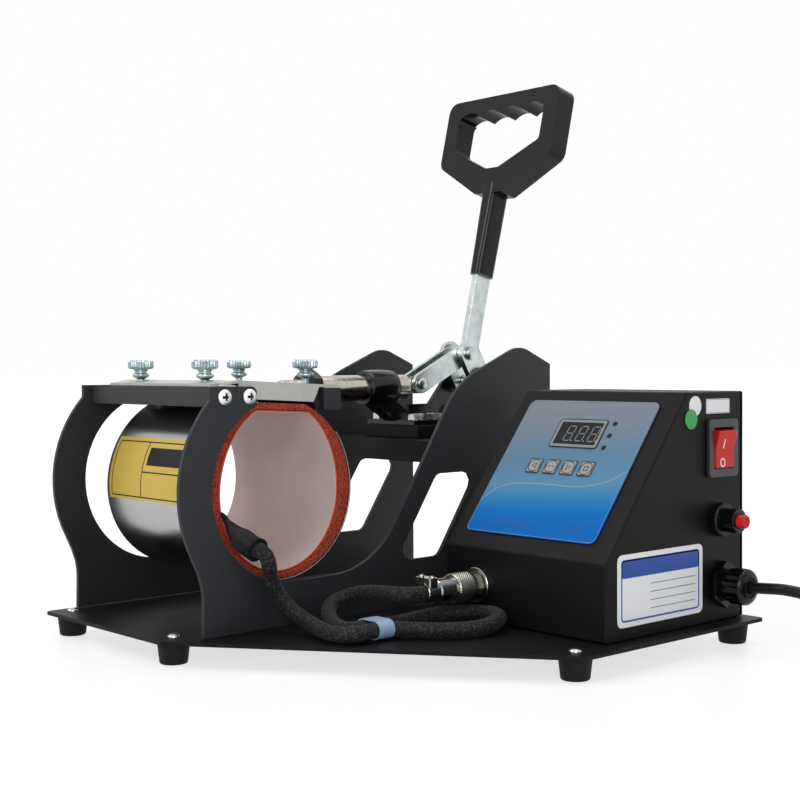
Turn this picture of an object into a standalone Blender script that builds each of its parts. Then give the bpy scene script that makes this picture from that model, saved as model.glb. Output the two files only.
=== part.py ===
"""Cylindrical heat press: a toggle clamp closes a heated band round a mug, and a sloped box controls it.

Every place is measured from the base plate's top face, at the front bottom corner of the right side
plate: X runs along the heater to the right, Y to the back, Z up. The datum empty carries all of it to
the middle of the part's footprint, at the height of the feet.
"""
import math

import bmesh
import bpy
import numpy as np
from mathutils import Matrix, Vector

MM = 0.001
DEG = math.radians(1.0)
HALF = 0.5
GAP = 0.3 * MM
OVERRUN = 4.0 * MM
WELD = 0.01 * MM
SHADING_ANGLE = 35.0 * DEG
BEVEL_ANGLE = 40.0 * DEG
RIGHT_ANGLE = 90.0 * DEG

# Base plate and feet
base_left = -131.0 * MM
base_front = -18.5 * MM
base_back = 257.0 * MM
base_right = 159.0 * MM
base_thickness = 2.0 * MM
base_nose_right = -12.0 * MM
base_slant_end = 108.5 * MM
base_corner_radius = 2.0 * MM
foot_height = 11.5 * MM
foot_top_radius = 8.5 * MM
foot_bottom_radius = 7.2 * MM
foot_edge_radius = 1.2 * MM
foot_inset = 12.0 * MM
foot_left_inset = 9.0 * MM
foot_screw_radius = 3.2 * MM
foot_screw_height = 1.4 * MM

# Side plates
plate_spacing = 130.0 * MM
plate_thickness = 2.5 * MM
plate_depth = 262.0 * MM
plate_rear_height = 138.7 * MM
plate_peak_inset = 27.8 * MM
plate_peak_height = 150.4 * MM
plate_peak_radius = 20.0 * MM
plate_slope_angle = 22.7 * DEG
plate_crest_share = 0.5525
post_foot_y = 114.7 * MM
post_top_radius = 57.0 * MM
post_foot_radius = 55.0 * MM
arm_front_y = 4.9 * MM
arm_rear_y = 34.2 * MM
arm_top = 127.8 * MM
arm_outer_radius = 69.2 * MM
arm_tip_radius = 3.5 * MM
arm_chin_height = 118.0 * MM
arm_low_angle = 207.0 * DEG
opening_y = 55.0 * MM
opening_z = 73.3 * MM
opening_radius = 49.3 * MM
window_top = 75.0 * MM
window_bottom = 26.9 * MM
window_lean = 32.4 * MM
window_front_margin = 16.0 * MM
window_gap = 17.8 * MM
window_rear_margin = 14.1 * MM
window_radius = 6.0 * MM
window_radius_share = 0.3
arm_screw_front_inset = 8.4 * MM
arm_screw_rear_inset = 5.3 * MM
arm_screw_drop = 5.4 * MM
arm_screw_head_radius = 4.1 * MM
arm_screw_head_height = 2.2 * MM
arm_screw_radius = 2.0 * MM
arm_screw_length = 9.0 * MM
arm_screw_ys = (arm_front_y + arm_screw_front_inset, arm_rear_y - arm_screw_rear_inset)
arm_screw_z = arm_top - arm_screw_drop
plate_peak_y = plate_depth - plate_peak_inset
window_room = plate_depth - window_rear_margin - window_lean - post_foot_y - window_front_margin
window_width = (window_room - window_gap) * HALF
window_first = post_foot_y + window_front_margin
window_starts = (window_first, window_first + window_width + window_gap)

# Front clamp bar, a folded channel that is open to the rear
bar_front_inset = 5.1 * MM
bar_rear_inset = 2.7 * MM
bar_height = 10.0 * MM
bar_drop = 0.4 * MM
bar_wall = 2.0 * MM
bar_tab = 2.8 * MM
bar_notch = 8.5 * MM
bar_front = arm_front_y + bar_front_inset
bar_rear = arm_rear_y - bar_rear_inset
bar_top = arm_top - bar_drop
bar_bottom = bar_top - bar_height

# Clamp line: the shaft, the bars and the band's saddle
middle_x = -65.0 * MM
shaft_z = 124.4 * MM
shaft_radius = 7.8 * MM
shaft_front = 123.4 * MM
tongue_width = 6.4 * MM
tongue_drop = 4.1 * MM
tongue_clearance = 0.2 * MM
link_clearance = 0.8 * MM
tongue_reach = 7.6 * MM
shaft_rod_radius = 5.0 * MM
spigot_radius = 2.4 * MM
spigot_z = 122.2 * MM
nut_flat_radius = 10.8 * MM
nut_front = 115.8 * MM
rear_bar_front = 85.4 * MM
rear_bar_size = 12.0 * MM
rear_bar_top = 126.0 * MM
rear_bar_half_length = 57.0 * MM
bracket_thickness = 2.2 * MM
bracket_plate_bottom = 112.5 * MM
saddle_half_length = 55.0 * MM
saddle_ridge_y = 29.8 * MM
saddle_ridge_z = 130.9 * MM
saddle_rear_y = 84.0 * MM
saddle_end_y = 96.6 * MM
saddle_lip_y = 15.2 * MM
saddle_lip_bend_y = 17.4 * MM
saddle_sheet = 1.5 * MM
saddle_flange_depth = 9.6 * MM
saddle_flange_rake = 4.3 * MM
saddle_corner_cut = 4.6 * MM
thumb_spacing = 64.0 * MM
front_thumb_y = 24.2 * MM
rear_thumb_y = 92.0 * MM
thumb_head_radius = 7.2 * MM
thumb_head_height = 4.9 * MM
thumb_top = 141.8 * MM
thumb_neck_radius = 3.6 * MM
thumb_collar_radius = 5.0 * MM
thumb_neck_height = 3.0 * MM
thumb_shank_radius = 2.2 * MM
thumb_shank_length = 11.0 * MM
knurl_count = 16
knurl_depth = 0.45 * MM

# Toggle clamp
barrel_radius = 10.3 * MM
barrel_front = 161.6 * MM
barrel_rear = 185.0 * MM
web_half_width = 5.5 * MM
web_front = 164.5 * MM
web_foot_front = 186.0 * MM
web_rear = 185.0 * MM
web_foot_rear = 205.0 * MM
web_top = 116.0 * MM
bracket_foot_front = 185.0 * MM
bracket_foot_rear = 250.0 * MM
bracket_shoulder_y = 232.0 * MM
bracket_shoulder_z = 113.0 * MM
bracket_foot_half = 22.0 * MM
bracket_foot_height = 2.8 * MM
bracket_wall_gap_half = 14.2 * MM
bracket_wall = 2.6 * MM
bracket_wall_front = 213.5 * MM
bracket_ear_radius = 8.6 * MM
bracket_ear_start = -60.0 * DEG
bracket_ear_end = 130.0 * DEG
spacer_front = 185.0 * MM
spacer_rear = 250.0 * MM
spacer_half_width = 25.0 * MM
spacer_bottom = 93.3 * MM
spacer_top = 101.0 * MM
mount_bolt_ys = (192.0 * MM, 207.0 * MM)
mount_bolt_x = 16.5 * MM
mount_bolt_radius = 2.5 * MM
bolt_flat_radius = 4.6 * MM
bolt_head_height = 3.6 * MM
pivot_o = (256.3 * MM, 128.0 * MM)
pivot_b = (245.4 * MM, 145.7 * MM)
pivot_a = (206.2 * MM, 126.6 * MM)
link_thickness = 2.8 * MM
link_width = 12.8 * MM
link_inner = 3.7 * MM
lever_bar_thickness = 4.4 * MM
lever_bar_width = 12.6 * MM
lever_lean = 13.6 * DEG
cheek_thickness = 3.0 * MM
cheek_radius = 8.2 * MM
pin_radius = 3.0 * MM
pin_a_radius = 2.4 * MM
pin_a_head = 0.6 * MM
pin_head_step = 1.5 * MM
lever_bar_inner = 6.8 * MM
shaft_step = 1.0 * MM
pin_path_length = 3.1 * MM
pin_path_rise = 1.1 * MM
pin_head_height = 1.5 * MM
bar_length = 62.0 * MM
shaft_tail = pivot_a[0] - link_width * HALF - pin_path_length - link_clearance

# Grip
grip_stem_start = 52.0 * MM
grip_stem_length = 62.0 * MM
grip_stem_width = 9.6 * MM
grip_stem_depth = 15.6 * MM
grip_stem_top_width = 12.0 * MM
grip_stem_radius = 3.4 * MM
grip_depth = 15.0 * MM
grip_width = 100.0 * MM
grip_height = 46.0 * MM
grip_shoulder = 15.5 * MM
grip_neck_width = 23.0 * MM
grip_corner_radius = 7.0 * MM
grip_bar = 11.5 * MM
grip_web_share = 0.9
grip_top_bar = 13.0 * MM
grip_scallop_depth = 3.6 * MM
grip_scallops = 4
grip_round = 2.0 * MM
grip_round_angle = 50.0 * DEG
grip_pocket_gap = 0.35 * MM

# Heated band
heater_near_x = -9.0 * MM
heater_length = 96.0 * MM
heater_y = 55.7 * MM
heater_z = 71.2 * MM
heater_tilt = 2.9 * DEG
bore_half_width = 38.6 * MM
bore_low = 42.0 * MM
bore_high = 47.0 * MM
bore_flat = 42.0 * MM
band_half_width = 49.3 * MM
band_low = 48.2 * MM
band_high = 50.5 * MM
band_flat = 48.2 * MM
band_steps = 72
shell_tab_rear = 33.0 * MM
shell_tab_front = 18.0 * MM
shell_tab_inset = 8.0 * MM
liner_thickness = 1.2 * MM
shell_thickness = 0.8 * MM
shell_end_angle = 42.0 * DEG
shell_start_angle = 112.0 * DEG
boot_depth = 6.0 * MM
boot_neck_radius = 6.0 * MM
boot_neck_root = (26.6 * MM, 45.4 * MM)
boot_mouth = (9.5 * MM, 26.8 * MM, 43.9 * MM)
boot_bore_start = 1.5 * MM
boot_front = 15.5 * MM
boot_bottom = 33.0 * MM
boot_width = 25.0 * MM
boot_height = 31.5 * MM
boot_outline_shares = (
    (0.0, 0.873), (0.18, 1.0), (0.5, 0.683), (1.0, 0.333), (0.96, 0.111), (0.7, 0.0), (0.58, 0.159),
    (0.36, 0.413), (0.2, 0.698),
)

# Control box
box_left = 35.5 * MM
box_right = 148.3 * MM
box_front = 135.8 * MM
box_back = 251.1 * MM
box_top = 123.5 * MM
box_knee = 39.8 * MM
box_ridge_y = 202.0 * MM
box_wall = 1.6 * MM
box_round = 1.2 * MM
box_round_angle = 30.0 * DEG
tray_thickness = 1.5 * MM
rear_cover_thickness = 1.2 * MM
panel_left = 45.0 * MM
panel_right = 136.0 * MM
panel_low = 10.0 * MM
panel_high = 99.0 * MM
panel_thickness = 0.7 * MM
panel_radius = 4.0 * MM
window_frame = 2.5 * MM
window_left = 75.0 * MM
window_right = 107.5 * MM
window_low = 67.8 * MM
window_high = 85.6 * MM
key_low = 49.5 * MM
key_size = 9.6 * MM
key_pitch = 12.2 * MM
key_left = 66.9 * MM
key_count = 4
key_thickness = 0.7 * MM
key_travel = 0.4 * MM
board_thickness = 1.6 * MM
display_block = 6.5 * MM
board_left = 52.0 * MM
board_right = 130.0 * MM
board_low = 40.0 * MM
board_high = 92.0 * MM
switch_y = 231.9 * MM
switch_z = 93.3 * MM
bezel_width = 26.0 * MM
bezel_height = 31.0 * MM
bezel_flange = 2.2 * MM
switch_body_width = 21.0 * MM
switch_body_height = 25.6 * MM
switch_body_depth = 17.0 * MM
switch_wall = 1.8 * MM
rocker_tilt = 6.5 * DEG
rocker_proud = 4.2 * MM
rocker_depth = 4.4 * MM
rocker_room = 9.0 * MM
rocker_clearance = 0.9 * MM
rocker_dish = 1.4 * MM
breaker_y = 229.5 * MM
breaker_z = 55.0 * MM
breaker_nut_radius = 9.1 * MM
breaker_nut_length = 5.0 * MM
breaker_neck_radius = 6.4 * MM
breaker_neck_length = 9.0 * MM
breaker_body_size = 15.0 * MM
breaker_body_length = 26.0 * MM
reset_radius = 3.6 * MM
reset_reach = 18.2 * MM
reset_travel = 2.0 * MM
reset_depth = 10.0 * MM
flute_count = 16
flute_depth = 0.5 * MM
gland_y = 232.0 * MM
gland_z = 20.0 * MM
gland_flat_radius = 11.0 * MM
gland_flange = 5.0 * MM
gland_neck_radius = 7.0 * MM
gland_neck = 3.0 * MM
gland_dome_radius = 9.7 * MM
gland_dome_length = 11.2 * MM
gland_dome_round = 3.0 * MM
gland_lip = 2.6 * MM
gland_tail = 5.0 * MM
relief_radius = 5.6 * MM
relief_tip_radius = 4.2 * MM
relief_length = 30.0 * MM
socket_x = 60.0 * MM
socket_z = 20.0 * MM
socket_flange_radius = 9.5 * MM
socket_flange = 2.0 * MM
socket_barrel_radius = 6.7 * MM
socket_bore_radius = 5.6 * MM
socket_barrel_length = 10.0 * MM
socket_tail_radius = 5.2 * MM
socket_tail_length = 9.0 * MM
plug_rear = 95.0 * MM
plug_body_rear = 104.0 * MM
plug_nose_rear = 123.0 * MM
plug_nose_front = 131.0 * MM
plug_body_radius = 6.3 * MM
plug_nose_radius = 5.2 * MM
plug_collar_rear = 119.0 * MM
plug_collar_front = 121.0 * MM
plug_collar_radius = 6.8 * MM
plug_lead_depth = 6.0 * MM
plug_saddle_height = 2.4 * MM
plug_saddle_length = 6.0 * MM
plug_screw_radius = 1.3 * MM
plug_screw_reach = 4.0 * MM
plug_ring_rear = 115.4 * MM
plug_ring_front = 133.3 * MM
plug_ring_lip = 2.4 * MM
plug_ring_radius = 8.2 * MM
plug_ring_grip = 12.0 * MM
plug_clamp_radius = 5.6 * MM
transformer_size = (34.0 * MM, 30.0 * MM, 28.0 * MM)
relay_size = (20.0 * MM, 16.0 * MM, 16.0 * MM)
power_board_corner = (46.0 * MM, 160.0 * MM)
power_board_size = (66.0 * MM, 76.0 * MM)
standoff_inset = 4.0 * MM
standoff_radius = 2.5 * MM
standoff_height = 6.0 * MM

# Cross shelf between the side plates
shelf_front = 172.0 * MM
shelf_rear = 252.0 * MM
shelf_top = 93.0 * MM
shelf_sheet = 2.0 * MM
shelf_flange = 13.0 * MM

# Cords
lead_radius = 4.1 * MM
lead_point_spacing = 9.8 * MM
cord_radius = 3.0 * MM
cord_point_spacing = 15.0 * MM
cord_run_in = 12.0 * MM
tie_width = 10.0 * MM
tie_wall = 0.7 * MM
tie_slack = 1.5 * MM
tie_inner_radius = 0.7 * MM
lead_tie_y = 64.6 * MM
lead_tie_left = 53.2 * MM
lead_tie_right = 62.4 * MM
coil_radius = 33.0 * MM
coil_pitch = 6.6 * MM
coil_half_turns = 6
coil_climb_inset = 1.6 * MM
coil_x = 252.0 * MM
coil_y = 268.0 * MM
coil_start_angle = 153.0 * DEG
coil_tie_angle = -110.0 * DEG
coil_tie_margin = 1.2 * MM
floor_clearance = 0.05 * MM
coil_steps = 24
plug_length = 34.0 * MM
plug_width = 24.0 * MM
plug_round = 2.5 * MM
prong_length = 15.0 * MM
prong_width = 6.4 * MM
prong_thickness = 1.5 * MM
prong_spacing = 12.7 * MM

# The heater lead's route from its boot, round the tie and a loop, to the connector, in millimetres
lead_route = (
    (2.6, 26.7, 44.7), (7.6, 26.8, 44.1), (12.4, 26.9, 43.5), (15.0, 28.6, 40.6), (13.8, 31.0, 35.2),
    (10.8, 33.6, 30.2), (9.6, 37.2, 24.0), (10.6, 40.8, 18.0), (14.2, 43.9, 12.6), (21.0, 46.0, 8.4),
    (31.0, 46.2, 5.8), (44.0, 43.4, 4.6), (55.0, 43.2, 4.8), (61.8, 49.0, 5.4), (62.4, 57.0, 5.6),
    (62.4, 65.5, 5.6), (63.6, 72.0, 5.2),
    (71.0, 79.5, 4.6), (81.0, 88.0, 4.5), (88.4, 100.0, 4.6), (91.0, 112.0, 5.4), (88.4, 122.5, 6.8),
    (80.5, 128.6, 7.4), (71.5, 128.6, 7.2), (63.2, 124.4, 6.9), (56.6, 117.0, 6.5), (52.8, 108.0, 5.9),
    (51.4, 98.0, 5.2), (52.0, 86.0, 4.8), (53.0, 76.0, 5.2), (53.3, 68.5, 5.6), (53.4, 59.0, 5.6),
    (50.4, 53.6, 5.2), (43.0, 53.2, 5.2), (33.0, 56.6, 6.4), (22.0, 63.0, 9.0), (15.8, 71.0, 12.0),
    (17.2, 79.5, 15.0), (26.0, 84.4, 17.4), (37.5, 84.6, 18.8), (48.0, 83.8, 19.6), (56.2, 85.6, 20.0),
    (60.0, 91.0, 20.0), (60.0, 96.0, 20.0), (60.0, 100.7, 20.0),
)

# The power cord's free stretch from the gland down to the coil, in millimetres
cord_route = (
    (157.0, 232.0, 20.0), (166.0, 232.0, 20.0), (176.0, 232.2, 20.6), (187.0, 233.4, 21.0),
    (197.5, 237.6, 19.0), (206.0, 245.0, 13.2), (212.0, 254.0, 4.8), (215.6, 262.0, -3.0),
    (217.6, 269.5, -8.0),
)


def clear_scene():
    """Remove whatever the file holds."""
    for thing in list(bpy.data.objects):
        bpy.data.objects.remove(thing, do_unlink=True)


def new_collection(name):
    group = bpy.data.collections.new(name)
    bpy.context.scene.collection.children.link(group)
    return group


def look(name, colour, roughness, metallic):
    """A Principled material, its colour given as linear red, green and blue."""
    material = bpy.data.materials.new(name)
    material.use_nodes = True
    shader = material.node_tree.nodes["Principled BSDF"]
    shader.inputs["Base Color"].default_value = (*colour, 1.0)
    shader.inputs["Roughness"].default_value = roughness
    shader.inputs["Metallic"].default_value = metallic
    return material


clear_scene()
press = new_collection("cylindrical_heat_press")
cutters = new_collection("cutters")


def empty(name, place, parent=None):
    """An empty at a place: the datum, or the axis of a joint."""
    marker = bpy.data.objects.new(name, None)
    marker.location = place
    marker.parent = parent
    marker.empty_display_size = pin_radius
    press.objects.link(marker)
    return marker


reset_tip_x = box_right + reset_reach
base_top = foot_height + base_thickness
datum = empty("datum", (-(base_left + reset_tip_x) * HALF,
                        -(base_front + plate_depth) * HALF, base_top))


def carried(thing, body=None, place=(0.0, 0.0, 0.0)):
    """Hang an object on the datum, or on a joint's empty, so that its mesh keeps the datum's coordinates."""
    thing.parent = body or datum
    thing.location = Vector(place) - (body.location if body else Vector())
    return thing


def piece(name, mesh, material, body=None, place=(0.0, 0.0, 0.0), turn=None):
    """One sub-part: its object, its material and the body that carries it."""
    thing = bpy.data.objects.new(name, mesh)
    mesh.materials.clear()
    mesh.materials.append(material)
    press.objects.link(thing)
    if turn:
        thing.rotation_euler = turn
    return carried(thing, body, place)


def tool(thing, mesh, operation="DIFFERENCE", turned=False):
    """Cut one mesh out of a sub-part, or fuse it on, with a hidden guide object that moves with it."""
    guide = bpy.data.objects.new(thing.name + "_guide", mesh)
    guide.hide_render = True
    guide.display_type = "WIRE"
    cutters.objects.link(guide)
    guide.parent = thing.parent
    base = thing.parent.location if thing.parent is not datum else Vector()
    guide.location = thing.location if turned else -base
    if turned:
        guide.rotation_euler = thing.rotation_euler
    step = thing.modifiers.new(operation.lower(), "BOOLEAN")
    step.operation = operation
    step.object = guide
    return thing


def bevel(thing, width, segments=2, angle=BEVEL_ANGLE):
    step = thing.modifiers.new("rounded_edges", "BEVEL")
    step.width = width
    step.segments = segments
    step.limit_method = "ANGLE"
    step.angle_limit = angle
    return thing


def mesh_from(bm, name="shape"):
    mesh = bpy.data.meshes.new(name)
    bmesh.ops.recalc_face_normals(bm, faces=bm.faces)
    bm.to_mesh(mesh)
    bm.free()
    mesh.shade_smooth()
    mesh.set_sharp_from_angle(angle=SHADING_ANGLE)
    return mesh


def add_box(bm, low, high):
    low, high = Vector(low), Vector(high)
    made = bmesh.ops.create_cube(bm, size=1.0)["verts"]
    bmesh.ops.scale(bm, vec=high - low, verts=made)
    bmesh.ops.translate(bm, vec=(low + high) * HALF, verts=made)


def box(low, high):
    bm = bmesh.new()
    add_box(bm, low, high)
    return mesh_from(bm)


def boxes(pairs):
    bm = bmesh.new()
    for low, high in pairs:
        add_box(bm, low, high)
    return mesh_from(bm)


def add_rod(bm, start, end, radius, end_radius=None, sides=24):
    """A cylinder, or a cone, from one point to another."""
    start, end = Vector(start), Vector(end)
    run = end - start
    aim = run.to_track_quat("Z", "Y").to_matrix().to_4x4()
    bmesh.ops.create_cone(
        bm, cap_ends=True, segments=sides, radius1=radius,
        radius2=radius if end_radius is None else end_radius, depth=run.length,
        matrix=Matrix.Translation((start + end) * HALF) @ aim)


def rod(start, end, radius, end_radius=None, sides=24):
    bm = bmesh.new()
    add_rod(bm, start, end, radius, end_radius, sides)
    return mesh_from(bm)


def rods(rows, sides=24):
    bm = bmesh.new()
    for start, end, radius in rows:
        add_rod(bm, start, end, radius, sides=sides)
    return mesh_from(bm)


def turned(name, profile, material, place, turn=None, body=None, steps=32):
    """A turned piece: its half profile, run from the top of the axis down its outer side, and a Screw."""
    bm = bmesh.new()
    row = [bm.verts.new((radius, 0.0, height)) for radius, height in profile]
    for first, second in zip(row, row[1:]):
        bm.edges.new((first, second))
    mesh = bpy.data.meshes.new(name)
    bm.to_mesh(mesh)
    bm.free()
    thing = piece(name, mesh, material, body, place, turn)
    spin = thing.modifiers.new("turned", "SCREW")
    spin.steps = steps
    spin.render_steps = steps
    spin.use_merge_vertices = True
    spin.merge_threshold = WELD
    spin.use_smooth_shade = True
    return thing


def fillet(before, corner, after, radius, steps=5):
    """The points of the arc that rounds one corner of an outline."""
    before, corner, after = (np.array(p, float) for p in (before, corner, after))
    if radius <= 0.0:
        return [tuple(corner)]
    into = (before - corner) / np.linalg.norm(before - corner)
    out = (after - corner) / np.linalg.norm(after - corner)
    opening = math.acos(float(np.clip(into @ out, -1.0, 1.0)))
    reach = radius / math.tan(opening * HALF)
    middle = corner + (into + out) / np.linalg.norm(into + out) * radius / math.sin(opening * HALF)
    start, end = corner + into * reach - middle, corner + out * reach - middle
    angle = math.atan2(start[1], start[0])
    sweep = math.atan2(end[1], end[0]) - angle
    sweep = (sweep + math.pi) % (2.0 * math.pi) - math.pi
    return [tuple(middle + radius * np.array((math.cos(angle + sweep * k / steps),
                                              math.sin(angle + sweep * k / steps))))
            for k in range(steps + 1)]


def rounded(corners, steps=5):
    """An outline from its corners, each a place and the radius that rounds it."""
    points = []
    for k, (u, v, radius) in enumerate(corners):
        before, after = corners[k - 1][:2], corners[(k + 1) % len(corners)][:2]
        points += fillet(before, (u, v), after, radius, steps)
    return points


def arc(centre, radius, start, end, steps):
    return [(centre[0] + radius * math.cos(start + (end - start) * k / steps),
             centre[1] + radius * math.sin(start + (end - start) * k / steps)) for k in range(steps + 1)]


def rectangle(u0, u1, v0, v1, radius=0.0, steps=4):
    return rounded(((u0, v0, radius), (u1, v0, radius), (u1, v1, radius), (u0, v1, radius)), steps)


def circle(u, v, radius, steps=24):
    return arc((u, v), radius, 0.0, 2.0 * math.pi * (steps - 1) / steps, steps - 1)


PLANES = {
    "XY": Matrix(((1, 0, 0, 0), (0, 1, 0, 0), (0, 0, 1, 0), (0, 0, 0, 1))),
    "YZ": Matrix(((0, 0, 1, 0), (1, 0, 0, 0), (0, 1, 0, 0), (0, 0, 0, 1))),
    "XZ": Matrix(((1, 0, 0, 0), (0, 0, -1, 0), (0, 1, 0, 0), (0, 0, 0, 1))),
}


def evaluated_mesh(thing):
    """The object's shape as a mesh of its own, its caps welded, and the object removed."""
    graph = bpy.context.evaluated_depsgraph_get()
    mesh = bpy.data.meshes.new_from_object(thing.evaluated_get(graph))
    bpy.data.objects.remove(thing, do_unlink=True)
    bm = bmesh.new()
    bm.from_mesh(mesh)
    bmesh.ops.remove_doubles(bm, verts=bm.verts, dist=WELD)
    bmesh.ops.recalc_face_normals(bm, faces=bm.faces)
    bm.to_mesh(mesh)
    bm.free()
    mesh.shade_smooth()
    mesh.set_sharp_from_angle(angle=SHADING_ANGLE)
    return mesh


def outline(plane, start, end, points, holes=()):
    """A flat outline, with its holes, as a filled curve of the thickness from start to end."""
    curve = bpy.data.curves.new("outline", "CURVE")
    curve.dimensions = "2D"
    curve.fill_mode = "BOTH"
    curve.extrude = abs(end - start) * HALF
    for loop in (points, *holes):
        spline = curve.splines.new("POLY")
        spline.points.add(len(loop) - 1)
        for point, (u, v) in zip(spline.points, loop):
            point.co = (u, v, 0.0, 1.0)
        spline.use_cyclic_u = True
    thing = bpy.data.objects.new("outline", curve)
    press.objects.link(thing)
    bpy.context.view_layer.update()
    mesh = evaluated_mesh(thing)
    middle = (start + end) * HALF
    lift = -middle if plane == "XZ" else middle
    mesh.transform(PLANES[plane] @ Matrix.Translation((0.0, 0.0, lift)))
    return mesh


def tube(points, radius, resolution):
    """A round tube along points, its ends square to it."""
    curve = bpy.data.curves.new("tube", "CURVE")
    curve.dimensions = "3D"
    curve.bevel_depth = radius
    curve.bevel_resolution = resolution
    curve.use_fill_caps = True
    spline = curve.splines.new("POLY")
    spline.points.add(len(points) - 1)
    for point, place in zip(spline.points, points):
        point.co = (*place, 1.0)
    thing = bpy.data.objects.new("tube", curve)
    press.objects.link(thing)
    bpy.context.view_layer.update()
    return evaluated_mesh(thing)


def smooth_route(route, spacing):
    """Evenly spaced points on a smooth curve through a route's own points, both in metres."""
    knots = np.array(route)
    padded = np.vstack((2 * knots[0] - knots[1], knots, 2 * knots[-1] - knots[-2]))
    share = np.linspace(0.0, 1.0, 24, endpoint=False)[:, None]
    dense = []
    for a, b, c, d in zip(padded, padded[1:], padded[2:], padded[3:]):
        dense.append(HALF * (2 * b + (c - a) * share + (2 * a - 5 * b + 4 * c - d) * share ** 2
                             + (3 * b - a - 3 * c + d) * share ** 3))
    dense = np.vstack((*dense, knots[-1:]))
    length = np.concatenate(([0.0], np.cumsum(np.linalg.norm(np.diff(dense, axis=0), axis=1))))
    count = max(int(round(length[-1] / spacing)), 2)
    even = np.linspace(0.0, length[-1], count + 1)
    return np.stack([np.interp(even, length, dense[:, k]) for k in range(3)], axis=1), length[-1]


def hexagon(centre, flat_radius, turn=0.0):
    corner = flat_radius / math.cos(math.pi / 6)
    return [(centre[0] + corner * math.cos(turn + k * math.pi / 3),
             centre[1] + corner * math.sin(turn + k * math.pi / 3)) for k in range(6)]


def fluted(centre, radius, depth, count):
    """A round outline with a flute between each two ribs, for knurled heads and nuts."""
    points = []
    for k in range(2 * count):
        reach = radius if k % 2 == 0 else radius - depth
        angle = math.pi * k / count
        points.append((centre[0] + reach * math.cos(angle), centre[1] + reach * math.sin(angle)))
    return points


coat = look("black_powder_coat", (0.017, 0.017, 0.019), 0.45, 0.0)
zinc = look("zinc_plate", (0.62, 0.65, 0.66), 0.32, 1.0)
nickel = look("nickel_plate", (0.55, 0.52, 0.46), 0.2, 1.0)
zinc_grey = look("grey_zinc_sheet", (0.34, 0.34, 0.33), 0.45, 0.8)
steel = look("polished_steel", (0.60, 0.60, 0.60), 0.22, 1.0)
plastic = look("black_plastic", (0.010, 0.010, 0.011), 0.35, 0.0)
red = look("red_plastic", (0.45, 0.015, 0.01), 0.35, 0.0)
rubber = look("black_rubber", (0.010, 0.010, 0.011), 0.8, 0.0)
cloth = look("ptfe_cloth", (0.38, 0.33, 0.33), 0.6, 0.0)
silicone = look("red_silicone", (0.30, 0.06, 0.04), 0.7, 0.0)
blue = look("blue_overlay", (0.02, 0.10, 0.32), 0.35, 0.0)
glass = look("dark_window", (0.004, 0.004, 0.005), 0.1, 0.0)
green = look("green_board", (0.02, 0.14, 0.05), 0.5, 0.0)
braid = look("grey_braid", (0.05, 0.05, 0.052), 0.75, 0.0)
pale_blue = look("pale_blue_tie", (0.35, 0.55, 0.75), 0.5, 0.0)


# Base plate and feet
def base_outline():
    corner = base_corner_radius
    return rounded((
        (base_left, base_front, corner), (base_nose_right, base_front, corner),
        (base_right, base_slant_end, corner), (base_right, base_back, corner),
        (base_left, base_back, corner)))


foot_places = {
    "foot_front_left": (base_left + foot_left_inset, base_front + foot_inset),
    "foot_front_middle": (base_nose_right - foot_inset * HALF, base_front + foot_inset),
    "foot_front_right": (base_right - foot_inset, base_slant_end + foot_inset * HALF),
    "foot_rear_right": (base_right - foot_inset, base_back - foot_inset),
    "foot_rear_left": (base_left + foot_inset, base_back - foot_inset),
}


def make_base():
    holes = [circle(x, y, foot_screw_radius * HALF + GAP, 12) for x, y in foot_places.values()]
    piece("base_plate", outline("XY", -base_thickness, 0.0, base_outline(), holes), coat)
    shank = foot_screw_radius * HALF
    under = -base_thickness - GAP
    head = GAP + foot_screw_height
    rim = GAP + foot_screw_height * HALF
    profile = ((0.0, head), (shank, head), (foot_screw_radius, rim), (foot_screw_radius, GAP),
               (shank, GAP), (shank, under), (foot_top_radius, under),
               (foot_bottom_radius, foot_edge_radius - base_top),
               (foot_bottom_radius - foot_edge_radius, -base_top), (0.0, -base_top))
    hidden = ((0.0, -GAP), (shank, -GAP), *profile[5:])
    for name, (x, y) in foot_places.items():
        under_box = box_left - foot_top_radius < x < box_right + foot_screw_radius and y > box_front
        turned(name, hidden if under_box else profile, rubber, (x, y, 0.0), steps=14)


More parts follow.
